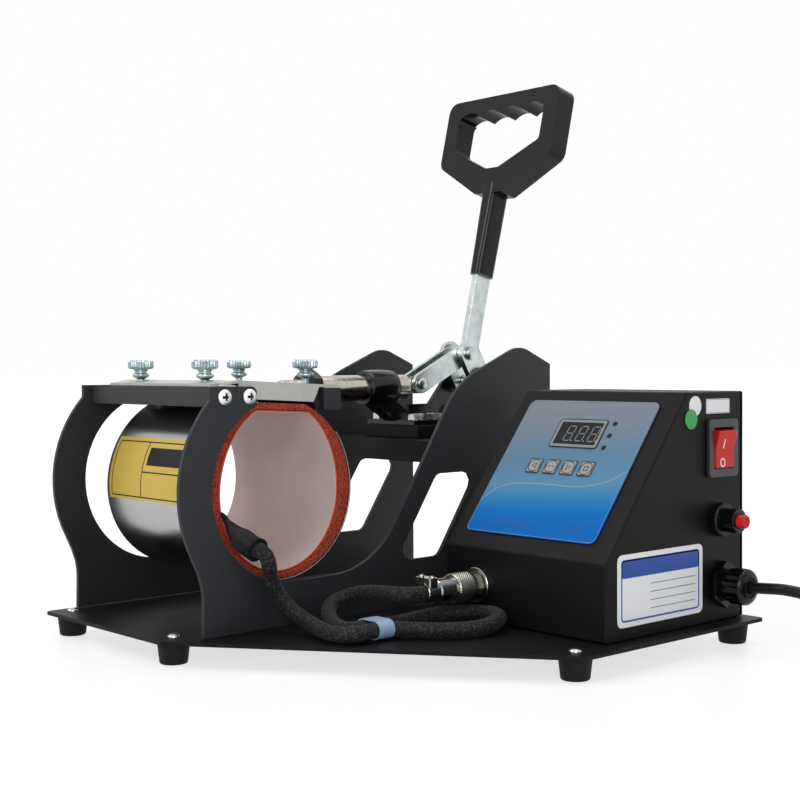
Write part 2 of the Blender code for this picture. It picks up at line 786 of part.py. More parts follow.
# Side plates
def side_outline():
    """The plate's outline, from the foot of its front edge along its base and round its top."""
    slope = math.tan(plate_slope_angle)
    floor = opening_z - opening_radius
    crest_y = post_foot_y + (plate_peak_y - post_foot_y) * plate_crest_share
    crest = (crest_y, plate_peak_height - slope * (plate_peak_y - crest_y))
    peak = (plate_peak_y, plate_peak_height)
    rear = (plate_depth, plate_rear_height)
    foot = (post_foot_y, floor)
    bottom = (opening_y, floor)
    centre = (opening_y, opening_z)
    tip_angle = math.acos((arm_rear_y - arm_tip_radius - opening_y) / opening_radius)
    front_angle = math.acos((arm_front_y - opening_y) / arm_outer_radius)
    low_end = (centre[0] + arm_outer_radius * math.cos(arm_low_angle),
               centre[1] + arm_outer_radius * math.sin(arm_low_angle))
    down = np.array((-math.sin(arm_low_angle), math.cos(arm_low_angle)))
    reach = low_end[1] * HALF
    start, first = np.array(low_end), np.array(low_end) + down * reach
    end, last = np.zeros(2), np.array((0.0, reach))
    steps = 6
    curve = [tuple((1 - t) ** 3 * start + 3 * (1 - t) ** 2 * t * first + 3 * (1 - t) * t ** 2 * last
                   + t ** 3 * end) for t in (k / steps for k in range(1, steps))]
    return ([(0.0, 0.0), (plate_depth, 0.0), rear]
            + fillet(rear, peak, crest, plate_peak_radius, 8)
            + fillet(peak, crest, foot, post_top_radius, 6)
            + fillet(crest, foot, bottom, post_foot_radius, 8)
            + arc(centre, opening_radius, -math.pi * HALF, tip_angle - 2.0 * math.pi, 30)
            + [(arm_rear_y, arm_chin_height)]
            + fillet((arm_rear_y, arm_chin_height), (arm_rear_y, arm_top), (arm_front_y, arm_top),
                     arm_tip_radius, 4)
            + [(arm_front_y, arm_top)]
            + arc(centre, arm_outer_radius, front_angle, arm_low_angle, 14) + curve)


def side_windows():
    radius = min(window_radius, window_width * window_radius_share)
    return [rounded(((start, window_bottom, radius), (start + window_width, window_bottom, radius),
                     (start + window_width + window_lean, window_top, radius),
                     (start + window_lean, window_top, radius)), 3) for start in window_starts]


def make_side_plates():
    holes = side_windows() + [circle(y, arm_screw_z, arm_screw_radius + GAP, 12) for y in arm_screw_ys]
    for name, near in (("right_side_plate", 0.0), ("left_side_plate", plate_thickness - plate_spacing)):
        lifted = [(y, max(z, GAP)) for y, z in side_outline()]
        piece(name, outline("YZ", near - plate_thickness, near, lifted, holes), coat)
    for name, y in zip(("arm_screw_front", "arm_screw_rear"), arm_screw_ys):
        crown = GAP + arm_screw_head_height
        head = rod((GAP, y, arm_screw_z), (crown, y, arm_screw_z), arm_screw_head_radius,
                   arm_screw_head_radius - arm_screw_head_height * HALF, 18)
        shank = rod((-arm_screw_length, y, arm_screw_z), (crown * HALF, y, arm_screw_z), arm_screw_radius,
                    sides=14)
        tool(piece(name, head, zinc), shank, "UNION")


# Front clamp bar: a folded channel whose end tabs lie on the side plates
inner_right = -plate_thickness - GAP
inner_left = plate_thickness - plate_spacing + GAP


def thumb_places():
    """The four thumb screws: two through the front bar and two through the rear bar."""
    reach = thumb_spacing * HALF
    return {
        "front_left_thumb_screw": (middle_x - reach, front_thumb_y),
        "front_right_thumb_screw": (middle_x + reach, front_thumb_y),
        "rear_left_thumb_screw": (middle_x - reach, rear_thumb_y),
        "rear_right_thumb_screw": (middle_x + reach, rear_thumb_y),
    }


def make_front_bar():
    bar = piece("front_clamp_bar", box((inner_left, bar_front, bar_bottom), (inner_right, bar_rear, bar_top)),
                coat)
    back = bar_rear + OVERRUN
    inside = bar_front + bar_wall
    floor, roof = bar_bottom + bar_wall, bar_top - bar_wall
    left, right = inner_left + bar_tab, inner_right - bar_tab
    tool(bar, box((left, inside, floor), (right, back, roof)))
    notches = boxes((((left, inside, floor + bar_wall), (left + bar_notch, back, bar_top + OVERRUN)),
                     ((right - bar_notch, inside, floor + bar_wall), (right, back, bar_top + OVERRUN))))
    tool(bar, notches)
    bores = [((x, y, floor), (x, y, bar_top + OVERRUN), thumb_shank_radius + GAP)
             for name, (x, y) in thumb_places().items() if name.startswith("front")]
    tool(bar, rods(bores, 16))
    ends = [((x0, y, arm_screw_z), (x1, y, arm_screw_z), arm_screw_radius + GAP)
            for x0, x1 in ((inner_left - OVERRUN, left + OVERRUN), (inner_right + OVERRUN, right - OVERRUN))
            for y in arm_screw_ys]
    tool(bar, rods(ends, 12))


# The top saddle: a folded sheet from the front bar to the rear bar
def saddle_line():
    """The saddle's top line in side view, as places along Y and heights."""
    lip = bar_top + GAP + saddle_sheet
    seat = rear_bar_top + GAP + saddle_sheet
    return ((saddle_lip_y, lip), (saddle_lip_bend_y, lip), (saddle_ridge_y, saddle_ridge_z),
            (rear_bar_front - GAP, seat + GAP), (saddle_end_y, seat))


def make_saddle(body, stroke):
    line = saddle_line()
    below = [(y, z - saddle_sheet) for y, z in reversed(line)]
    low_x, high_x = middle_x - saddle_half_length, middle_x + saddle_half_length
    saddle = piece("top_saddle", outline("YZ", low_x, high_x, [*line, *below]), zinc_grey, body)
    ridge_y, ridge_z = line[2]
    rear_z = line[3][1]
    depth = saddle_flange_depth
    side = [(ridge_y, ridge_z - saddle_sheet * HALF), (saddle_rear_y, rear_z - saddle_sheet * HALF),
            (saddle_rear_y - saddle_flange_rake, rear_z - depth), (ridge_y, ridge_z - depth)]
    for start, end in ((low_x, low_x + saddle_sheet), (high_x - saddle_sheet, high_x)):
        tool(saddle, outline("YZ", start + WELD, end - WELD, side), "UNION")
    cut = saddle_corner_cut
    front = saddle_lip_y - OVERRUN
    bend = ridge_y - cut - GAP
    corners = []
    for edge, inward in ((low_x, 1.0), (high_x, -1.0)):
        outer = edge - inward * OVERRUN
        corners.append(outline("XY", bar_top, ridge_z + OVERRUN,
                               [(outer, front), (edge + inward * cut, front),
                                (edge + inward * cut, ridge_y - 2.0 * cut), (edge, bend), (outer, bend)]))
    for corner in corners:
        tool(saddle, corner)
    slot = thumb_shank_radius + GAP * 2
    for name, (x, y) in thumb_places().items():
        reach = stroke if name.startswith("front") else 0.0
        hole = rounded(((x - slot, y - slot, slot - WELD), (x + slot, y - slot, slot - WELD),
                        (x + slot, y + reach + slot, slot - WELD), (x - slot, y + reach + slot, slot - WELD)))
        tool(saddle, outline("XY", bar_top - OVERRUN, ridge_z + OVERRUN, hole))


def make_thumb_screws(plunger):
    """Four knurled thumb screws, each turned about its own upright axis."""
    neck = thumb_top - thumb_head_height
    collar_top = neck - thumb_neck_height * HALF
    collar_low = saddle_ridge_z + GAP
    for name, (x, y) in thumb_places().items():
        place = (x, y, collar_low)
        body = joint_empty(name + "_axis", place)
        head = outline("XY", neck, thumb_top,
                       fluted((x, y), thumb_head_radius, knurl_depth, knurl_count))
        screw = piece(name, head, zinc, body)
        tool(screw, rod((x, y, collar_low), (x, y, collar_top), thumb_collar_radius, sides=20), "UNION")
        low = thumb_top - thumb_shank_length - thumb_head_height * 2
        tool(screw, rod((x, y, low), (x, y, neck + thumb_head_height * HALF), thumb_shank_radius, sides=14),
             "UNION")
        tool(screw, rod((x, y, collar_top - GAP), (x, y, neck + GAP), thumb_neck_radius, sides=16), "UNION")


def make_rear_bar(body):
    left, right = middle_x - rear_bar_half_length, middle_x + rear_bar_half_length
    rear = rear_bar_front + rear_bar_size
    low = rear_bar_top - rear_bar_size
    bar = piece("rear_clamp_bar", box((left, rear_bar_front, low), (right, rear, rear_bar_top)), coat, body)
    holes = [((x, y, low - OVERRUN), (x, y, rear_bar_top + OVERRUN), thumb_shank_radius + GAP)
             for name, (x, y) in thumb_places().items() if name.startswith("rear")]
    tool(bar, rods(holes, 16))
    seat = rear_bar_front + bracket_thickness
    back = rear + OVERRUN
    socket = rod((middle_x, seat, spigot_z), (middle_x, back, spigot_z), spigot_radius + GAP, sides=16)
    tool(bar, socket)
    inset = saddle_sheet * 2
    front = rear_bar_front - bracket_thickness
    plate = box((middle_x - saddle_half_length + inset, front, bracket_plate_bottom),
                (middle_x + saddle_half_length - inset, rear_bar_front + GAP, rear_bar_top - GAP * 3))
    tool(bar, plate, "UNION")


# Toggle clamp
def joint_empty(name, place):
    """The empty on a joint's axis that carries the joint's moving pieces."""
    return empty(name, place, datum)


def stadium(first, second, radius, steps=12):
    """The outline that runs round two places with one radius."""
    (y0, z0), (y1, z1) = first, second
    aim = math.atan2(z1 - z0, y1 - y0)
    quarter = math.pi * HALF
    return (arc(first, radius, aim + quarter, aim + 3.0 * quarter, steps)
            + arc(second, radius, aim - quarter, aim + quarter, steps))


def linkage():
    """The toggle's figures: the lever's closing angle, the stroke, and the link's opposite turn."""
    (oy, oz), (by, bz), (ay, az) = pivot_o, pivot_b, pivot_a
    crank = math.hypot(by - oy, bz - oz)
    link = math.hypot(by - ay, bz - az)
    opened = math.atan2(bz - oz, oy - by)
    closing = opened + math.asin((az - oz) / (crank + link))
    dead_y = oy - crank * math.cos(opened - closing)
    dead_z = oz + crank * math.sin(opened - closing)
    slope = math.asin((dead_z - az) / link)
    closed_y = dead_y - link * math.cos(slope)
    link_turn = slope - math.atan2(bz - az, by - ay)
    return closing, ay - closed_y, link_turn - closing


def make_toggle_body():
    front, rear = barrel_front, barrel_rear
    body = piece("toggle_body", rod((middle_x, front, shaft_z), (middle_x, rear, shaft_z), barrel_radius,
                                    sides=32), coat)
    foot_low = spacer_top + GAP
    foot_top = foot_low + bracket_foot_height
    web = [(web_front, web_top), (web_foot_front, foot_low + bracket_foot_height * HALF),
           (web_foot_rear, foot_low + bracket_foot_height * HALF), (web_rear - GAP, web_top)]
    half = web_half_width
    tool(body, outline("YZ", middle_x - half, middle_x + half, web), "UNION")
    foot = box((middle_x - bracket_foot_half, bracket_foot_front, foot_low),
               (middle_x + bracket_foot_half, bracket_foot_rear, foot_top))
    tool(body, foot, "UNION")
    oy, oz = pivot_o
    ear = bracket_ear_radius
    low = foot_low + GAP
    back = bracket_foot_rear - GAP
    wall = ([(bracket_wall_front, low), (back, low)]
            + arc(pivot_o, ear, bracket_ear_start, bracket_ear_end, 14)
            + [(bracket_shoulder_y, bracket_shoulder_z), (bracket_wall_front, bracket_shoulder_z)])
    holes = [circle(oy, oz, pin_radius + GAP, 20)]
    for side in (1.0, -1.0):
        inner = middle_x + side * bracket_wall_gap_half
        tool(body, outline("YZ", inner, inner + side * bracket_wall, wall, holes), "UNION")
    tool(body, rod((middle_x, front - OVERRUN, shaft_z), (middle_x, rear + OVERRUN, shaft_z),
                   shaft_radius + GAP, sides=32))
    bolts = [((x, y, foot_low - OVERRUN), (x, y, foot_top + OVERRUN), mount_bolt_radius + GAP)
             for x, y in bolt_places()]
    tool(body, rods(bolts, 14))
    pin = rod((middle_x - bracket_wall_gap_half - bracket_wall - GAP * 2, oy, oz),
              (middle_x + bracket_wall_gap_half + bracket_wall + GAP * 2, oy, oz), pin_radius, sides=20)
    pin = piece("pivot_pin_frame", pin, zinc)
    reach = bracket_wall_gap_half + bracket_wall + GAP
    for side in (1.0, -1.0):
        near, far = middle_x + side * reach, middle_x + side * (reach + pin_head_height)
        tool(pin, rod((near, oy, oz), (far, oy, oz), pin_radius + pin_head_step, sides=20), "UNION")


def bolt_places():
    return [(middle_x + side * mount_bolt_x, y) for side in (1.0, -1.0) for y in mount_bolt_ys]


def make_mount():
    """The spacer block on the cross shelf, and the four bolts that hold the clamp down."""
    half = spacer_half_width
    holes = [circle(x, y, mount_bolt_radius + GAP, 14) for x, y in bolt_places()]
    block = outline("XY", spacer_bottom, spacer_top,
                    rectangle(middle_x - half, middle_x + half, spacer_front, spacer_rear), holes)
    piece("clamp_spacer_block", block, coat)
    foot_top = spacer_top + GAP + bracket_foot_height
    low, high = foot_top + GAP, foot_top + GAP + bolt_head_height
    for k, (x, y) in enumerate(bolt_places()):
        head = outline("XY", low, high, hexagon((x, y), bolt_flat_radius))
        tip = shelf_top - shelf_sheet - bolt_head_height * 2
        shank = rod((x, y, tip), (x, y, low + bolt_head_height * HALF), mount_bolt_radius, sides=14)
        tool(bevel(piece("mount_bolt_%d" % (k + 1), head, zinc), GAP, 1), shank, "UNION")
    shelf = piece("cross_shelf", box((inner_left, shelf_front, shelf_top - shelf_flange),
                                     (inner_right, shelf_rear, shelf_top)), coat)
    tool(shelf, box((inner_left + shelf_sheet, shelf_front + shelf_sheet, shelf_top - shelf_flange - OVERRUN),
                    (inner_right - shelf_sheet, shelf_rear - shelf_sheet, shelf_top - shelf_sheet)))
    tool(shelf, rods([((x, y, shelf_top - shelf_flange * HALF), (x, y, shelf_top + OVERRUN),
                       mount_bolt_radius + GAP) for x, y in bolt_places()], 14))


def meet(first, along, second, across):
    """Where the line from one place along its direction meets the line from another."""
    share = np.linalg.solve(np.array([along, -np.array(across)]).T, np.array(second) - np.array(first))[0]
    return tuple(np.array(first) + share * np.array(along))


def make_lever(lever):
    """The lever bar with its cheek, its rear cheek, the pin that holds the link, and the grip."""
    o, b = np.array(pivot_o), np.array(pivot_b)
    crank = (b - o) / np.linalg.norm(b - o)
    up = np.array((math.sin(lever_lean), math.cos(lever_lean)))
    front_crank = np.array((-crank[1], crank[0]))
    front_bar = np.array((-up[1], up[0]))
    half = lever_bar_width * HALF
    radius = cheek_radius
    aim = math.atan2(crank[1], crank[0])
    quarter = math.pi * HALF
    leave = math.sqrt(radius ** 2 - half ** 2)
    leave_place = b + front_bar * half + up * leave
    leave_angle = math.atan2(*(leave_place - b)[::-1])
    start_angle = math.atan2(front_crank[1], front_crank[0])
    if start_angle < 0.0:
        start_angle += 4.0 * quarter
    inner = meet(b - front_crank * radius, -crank, b - front_bar * half, up)
    top = bar_length
    far_side = b - front_bar * half + up * top
    near_side = b + front_bar * half + up * top
    points = arc(pivot_o, radius, aim + quarter, aim + 3.0 * quarter, 14)
    points += [inner, tuple(far_side), tuple(near_side)]
    points += arc(pivot_b, radius, leave_angle, start_angle, 8)
    near = middle_x + lever_bar_inner
    holes = [circle(*pivot_o, pin_radius + GAP, 20), circle(*pivot_b, pin_radius + GAP, 20)]
    piece("lever_bar", outline("YZ", near, near + lever_bar_thickness, points, holes), zinc, lever)
    far = middle_x - lever_bar_inner
    cheek = outline("YZ", far - cheek_thickness, far, stadium(pivot_o, pivot_b, radius), holes[:1])
    cheek = piece("lever_cheek", cheek, zinc, lever)
    end = near + lever_bar_thickness + GAP
    pin = rod((far - cheek_thickness - GAP, *pivot_b), (end + GAP, *pivot_b), pin_radius, sides=20)
    head = rod((end, *pivot_b), (end + pin_head_height, *pivot_b), pin_radius + pin_head_step, sides=20)
    tool(cheek, pin, "UNION")
    tool(cheek, head, "UNION")


def make_link(link):
    """Two link plates, held apart by the riveted pin that pushes the plunger."""
    inner = link_inner
    outer = inner + link_thickness
    holes = [circle(*pivot_b, pin_radius + GAP, 20)]
    shape = stadium(pivot_a, pivot_b, link_width * HALF)
    near_plate = outline("YZ", middle_x + inner, middle_x + outer, shape, holes)
    plates = piece("link_plates", near_plate, zinc, link)
    tool(plates, outline("YZ", middle_x - outer, middle_x - inner, shape, holes), "UNION")
    reach = outer + pin_a_head
    pin = rod((middle_x - reach, *pivot_a), (middle_x + reach, *pivot_a), pin_a_radius, sides=16)
    tool(plates, pin, "UNION")


def make_plunger(body):
    """The sliding shaft with its threaded rod and tongue, and the adjusting nut."""
    rod_front = rear_bar_front + rear_bar_size + GAP
    spigot = rear_bar_front + bracket_thickness * 2
    nose = shaft_tail - shaft_front
    tip = shaft_tail - rod_front
    profile = ((0.0, tip), (shaft_rod_radius, tip), (shaft_rod_radius, nose),
               (shaft_radius - shaft_step, nose), (shaft_radius, nose - shaft_step), (shaft_radius, 0.0),
               (0.0, 0.0))
    shaft = turned("plunger_shaft", profile, nickel, (middle_x, shaft_tail, shaft_z),
                   (RIGHT_ANGLE, 0.0, 0.0), body)
    stub = rod((middle_x, spigot, spigot_z), (middle_x, rod_front + GAP, spigot_z), spigot_radius, sides=16)
    tool(shaft, stub, "UNION")
    ay, az = pivot_a
    half = tongue_width * HALF
    low = shaft_z - tongue_drop
    high = shaft_z + math.sqrt(shaft_radius ** 2 - half ** 2) - tongue_clearance
    tongue = outline("YZ", middle_x - half, middle_x + half, rounded((
        (shaft_tail - OVERRUN, low, 0.0), (ay + tongue_reach, low, tongue_reach * HALF),
        (ay + tongue_reach, high, tongue_reach * HALF),
        (shaft_tail - OVERRUN, high, 0.0)), 6))
    tool(shaft, tongue, "UNION")
    fit = pin_a_radius + GAP
    slot = rounded(((ay - pin_path_length - fit, az - fit, fit - WELD), (ay + fit, az - fit, fit - WELD),
                    (ay + fit, az + pin_path_rise + fit, fit - WELD),
                    (ay - pin_path_length - fit, az + pin_path_rise + fit, fit - WELD)), 5)
    tool(shaft, outline("YZ", middle_x - half - OVERRUN, middle_x + half + OVERRUN, slot))


def make_adjusting_nut(nut):
    length = shaft_front - GAP * 2 - nut_front
    mesh = outline("XZ", nut_front, nut_front + length, hexagon((middle_x, shaft_z), nut_flat_radius),
                   [circle(middle_x, shaft_z, shaft_rod_radius + GAP, 24)])
    bevel(piece("adjusting_nut", mesh, coat, nut), GAP * 2, 1)


# Grip: a stem over the bar's end and a flat six-sided loop with finger scallops in its top bar
def make_grip(lever):
    centre_x = middle_x + lever_bar_inner + lever_bar_thickness * HALF
    place = (centre_x, *pivot_b)
    turn = (-lever_lean, 0.0, 0.0)
    start, end = grip_stem_start, grip_stem_start + grip_stem_length
    top = end + grip_height + grip_shoulder
    shoulder = end + grip_shoulder
    half, neck = grip_width * HALF, grip_neck_width * HALF
    radius = grip_corner_radius
    outer = rounded(((-neck, end - radius, radius * HALF), (neck, end - radius, radius * HALF),
                     (half, shoulder, radius), (half, top, radius), (-half, top, radius),
                     (-half, shoulder, radius)), 4)
    bar = grip_bar
    inner_low = end + bar * grip_web_share
    inner = rounded(((-neck * HALF, inner_low, radius * HALF), (neck * HALF, inner_low, radius * HALF),
                     (half - bar, shoulder + bar * grip_web_share, radius * HALF),
                     (half - bar, top - grip_top_bar, radius * HALF),
                     (-half + bar, top - grip_top_bar, radius * HALF),
                     (-half + bar, shoulder + bar * grip_web_share, radius * HALF)), 3)
    depth = grip_depth * HALF
    grip = piece("lever_grip", outline("XZ", -depth, depth, outer, [inner]), plastic, lever, place, turn)
    span = (grip_width - 2.0 * bar) / grip_scallops
    rise = grip_scallop_depth
    reach = ((span * HALF) ** 2 + rise ** 2) * HALF / rise
    half_angle = math.asin((span * HALF - GAP) / reach)
    for k in range(grip_scallops):
        x = -half + bar + span * (k + HALF)
        z = top - grip_top_bar + rise - reach
        lens = arc((x, z), reach, RIGHT_ANGLE - half_angle, RIGHT_ANGLE + half_angle, 6)
        base_z = lens[0][1] - GAP * 2
        lens = [(lens[0][0], base_z), *lens, (lens[-1][0], base_z)]
        tool(grip, outline("XZ", -depth - OVERRUN, depth + OVERRUN, lens), turned=True)
    bm = bmesh.new()
    low_w, high_w, deep = grip_stem_width * HALF, grip_stem_top_width * HALF, grip_stem_depth * HALF
    corner = grip_stem_radius
    rows = []
    for z, width in ((start, low_w), (end, high_w)):
        rows.append([bm.verts.new((x, y, z)) for x, y in
                     rectangle(-width, width, -deep, deep, corner, 4)])
    for k in range(len(rows[0])):
        j = (k + 1) % len(rows[0])
        bm.faces.new((rows[0][k], rows[0][j], rows[1][j], rows[1][k]))
    bm.faces.new(rows[0][::-1])
    bm.faces.new(rows[1])
    tool(grip, mesh_from(bm), "UNION", turned=True)
    room = lever_bar_thickness * HALF + grip_pocket_gap
    deep_room = lever_bar_width * HALF + grip_pocket_gap
    pocket = box((-room, -deep_room, start - OVERRUN), (room, deep_room, bar_length + grip_pocket_gap))
    tool(grip, pocket, turned=True)
    bevel(grip, grip_round, 1, grip_round_angle)


# Heated band
def section(half_width, low, high, flat, steps):
    """A closed section of the band, in the plane across the heater: flat on top and round elsewhere."""
    points = []
    for k in range(steps):
        angle = 2.0 * math.pi * k / steps
        z = math.sin(angle)
        z = min(high * z, flat) if z > 0.0 else low * z
        points.append((half_width * math.cos(angle), z))
    return np.array(points)


def offset(points, distance):
    """A closed outline moved out along its normals."""
    ahead, behind = np.roll(points, -1, axis=0), np.roll(points, 1, axis=0)
    run = ahead - behind
    normal = np.stack((run[:, 1], -run[:, 0]), axis=1)
    return points + normal / np.linalg.norm(normal, axis=1)[:, None] * distance


def on_heater(points):
    """Lean a section by the heater's tilt and set it on the heater's axis."""
    c, s = math.cos(-heater_tilt), math.sin(-heater_tilt)
    return [(heater_y + y * c - z * s, heater_z + y * s + z * c) for y, z in points]


def make_heater():
    near, far = heater_near_x, heater_near_x - heater_length
    bore = section(bore_half_width, bore_low, bore_high, bore_flat, band_steps)
    skin = section(band_half_width, band_low, band_high, band_flat, band_steps)
    liner_out = offset(bore, liner_thickness)
    pad_in, pad_out = offset(liner_out, GAP), offset(skin, -shell_thickness - GAP)
    piece("heater_liner", outline("YZ", far, near, on_heater(liner_out), [on_heater(bore)]), cloth)
    piece("silicone_pad", outline("YZ", far, near, on_heater(pad_out), [on_heater(pad_in)]), silicone)
    step = 2.0 * math.pi / band_steps
    first = int(round(shell_start_angle / step))
    last = int(round(shell_end_angle / step)) + band_steps
    inner = offset(skin, -shell_thickness)
    run = [k % band_steps for k in range(first, last + 1)]
    outer_run = on_heater([skin[k] for k in run])
    inner_run = on_heater([inner[k] for k in run])
    shell = piece("heater_shell", outline("YZ", far, near, outer_run + inner_run[::-1]), steel)
    start_y, start_z = outer_run[0]
    tab_z = bar_bottom + bar_wall + GAP
    tab_top = tab_z + shell_thickness
    tab = [(start_y, start_z - shell_thickness), (start_y, start_z), (shell_tab_rear, tab_top),
           (shell_tab_front, tab_top), (shell_tab_front, tab_z), (shell_tab_rear, tab_z)]
    inset = shell_tab_inset
    tool(shell, outline("YZ", far + inset, near - inset, tab), "UNION")
    holes = [((x, y, tab_z - OVERRUN * HALF), (x, y, tab_z + OVERRUN * HALF), thumb_shank_radius + GAP)
             for name, (x, y) in thumb_places().items() if name.startswith("front")]
    tool(shell, rods(holes, 16))
    shape = [(boot_front + boot_width * across, boot_bottom + boot_height * up)
             for across, up in boot_outline_shares]
    boot = piece("lead_boot", outline("YZ", near + GAP, near + GAP + boot_depth, shape), rubber)
    root = (near + GAP * 2, *boot_neck_root)
    tool(boot, rod(root, boot_mouth, boot_neck_radius, sides=20), "UNION")
    aim = (Vector(boot_mouth) - Vector(root)).normalized()
    deep = Vector(boot_mouth) - aim * (boot_mouth[0] - boot_bore_start)
    tool(boot, rod(deep, Vector(boot_mouth) + aim * OVERRUN, lead_radius + GAP, sides=20))


# Control box
slope_angle = math.atan2(box_top - box_knee, box_ridge_y - box_front)
slope_turn = (slope_angle, 0.0, 0.0)
slope_place = (0.0, box_front, box_knee)


def on_slope(name, mesh, material, body=None):
    """A piece drawn flat, X across and Y up the slope, and laid on the control box's slope."""
    return piece(name, mesh, material, body, slope_place, slope_turn)


def key_rects():
    return [(key_left + k * key_pitch, key_left + k * key_pitch + key_size) for k in range(key_count)]


def make_box():
    low = GAP
    skin = [(box_front, low), (box_back, low), (box_back, box_top), (box_ridge_y, box_top),
            (box_front, box_knee)]
    body = piece("control_box", outline("YZ", box_left, box_right, skin), coat)
    bevel(body, box_round, 2, box_round_angle)
    wall = box_wall
    front_in = box_front + wall
    knee_in = box_knee - wall * math.tan((RIGHT_ANGLE - slope_angle) * HALF)
    ridge_in = box_ridge_y + wall * math.tan(slope_angle * HALF)
    room = [(front_in, low - OVERRUN), (box_back + OVERRUN, low - OVERRUN),
            (box_back + OVERRUN, box_top - wall), (ridge_in, box_top - wall), (front_in, knee_in)]
    tool(body, outline("YZ", box_left + wall, box_right - wall, room))
    near, far = box_right - wall - OVERRUN, box_right + OVERRUN
    holes = (((socket_x, box_front - OVERRUN, socket_z), (socket_x, front_in + OVERRUN, socket_z),
              socket_tail_radius + GAP),
             ((near, breaker_y, breaker_z), (far, breaker_y, breaker_z), breaker_neck_radius + GAP),
             ((near, gland_y, gland_z), (far, gland_y, gland_z), gland_neck_radius + GAP))
    tool(body, rods(holes, 24))
    half_y, half_z = switch_body_width * HALF + GAP, switch_body_height * HALF + GAP
    tool(body, box((box_right - wall - OVERRUN, switch_y - half_y, switch_z - half_z),
                   (box_right + OVERRUN, switch_y + half_y, switch_z + half_z)))
    frame = window_frame
    opening = box((window_left + frame, window_low + frame, -OVERRUN),
                  (window_right - frame, window_high - frame, OVERRUN))
    opening.transform(Matrix.Translation(slope_place) @ Matrix.Rotation(slope_angle, 4, "X"))
    tool(body, opening)
    inside = wall + GAP
    rear_y = box_back + GAP
    cover = outline("XZ", rear_y, rear_y + rear_cover_thickness,
                    rectangle(box_left, box_right, low, box_top, box_round))
    cover = piece("box_rear_cover", cover, coat)
    tool(cover, box((box_left + inside, front_in + GAP, low + GAP),
                    (box_right - inside, rear_y + GAP, low + tray_thickness)), "UNION")


def make_front_panel():
    """The membrane overlay, its keys, the display window and the board behind them."""
    holes = [rectangle(window_left, window_right, window_low, window_high)]
    holes += [rectangle(a, b, key_low, key_low + key_size, GAP * 4) for a, b in key_rects()]
    panel = outline("XY", GAP, GAP + panel_thickness,
                    rectangle(panel_left, panel_right, panel_low, panel_high, panel_radius), holes)
    on_slope("membrane_panel", panel, blue)
    shown = outline("XY", GAP, GAP + panel_thickness + GAP,
                    rectangle(window_left + GAP, window_right - GAP, window_low + GAP, window_high - GAP))
    on_slope("display_window", shown, glass)
    key_bottom = GAP + key_travel + GAP * HALF
    normal = Vector((0.0, -math.sin(slope_angle), math.cos(slope_angle)))
    along = Vector((0.0, math.cos(slope_angle), math.sin(slope_angle)))
    for k, (a, b) in enumerate(key_rects()):
        place = (Vector(slope_place) + Vector(((a + b) * HALF, 0.0, 0.0))
                 + along * (key_low + key_size * HALF) + normal * key_bottom)
        body = joint_empty("key_%d_axis" % (k + 1), place)
        key = outline("XY", key_bottom, key_bottom + key_thickness,
                      rectangle(a + GAP, b - GAP, key_low + GAP, key_low + key_size - GAP, GAP * 3))
        on_slope("panel_key_%d" % (k + 1), key, blue, body)
    board_top = -box_wall - display_block
    board = on_slope("control_board", box((board_left, board_low, board_top - board_thickness),
                                          (board_right, board_high, board_top)), green)
    frame = window_frame + GAP * 2
    tool(board, box((window_left + frame, window_low + frame, board_top - GAP),
                    (window_right - frame, window_high - frame, -GAP)), "UNION", turned=True)
    for a, b in key_rects():
        middle = (a + b) * HALF
        size = key_size * HALF * HALF
        tool(board, box((middle - size, key_low + size, board_top - GAP),
                        (middle + size, key_low + 3.0 * size, -box_wall - GAP * 2)), "UNION", turned=True)


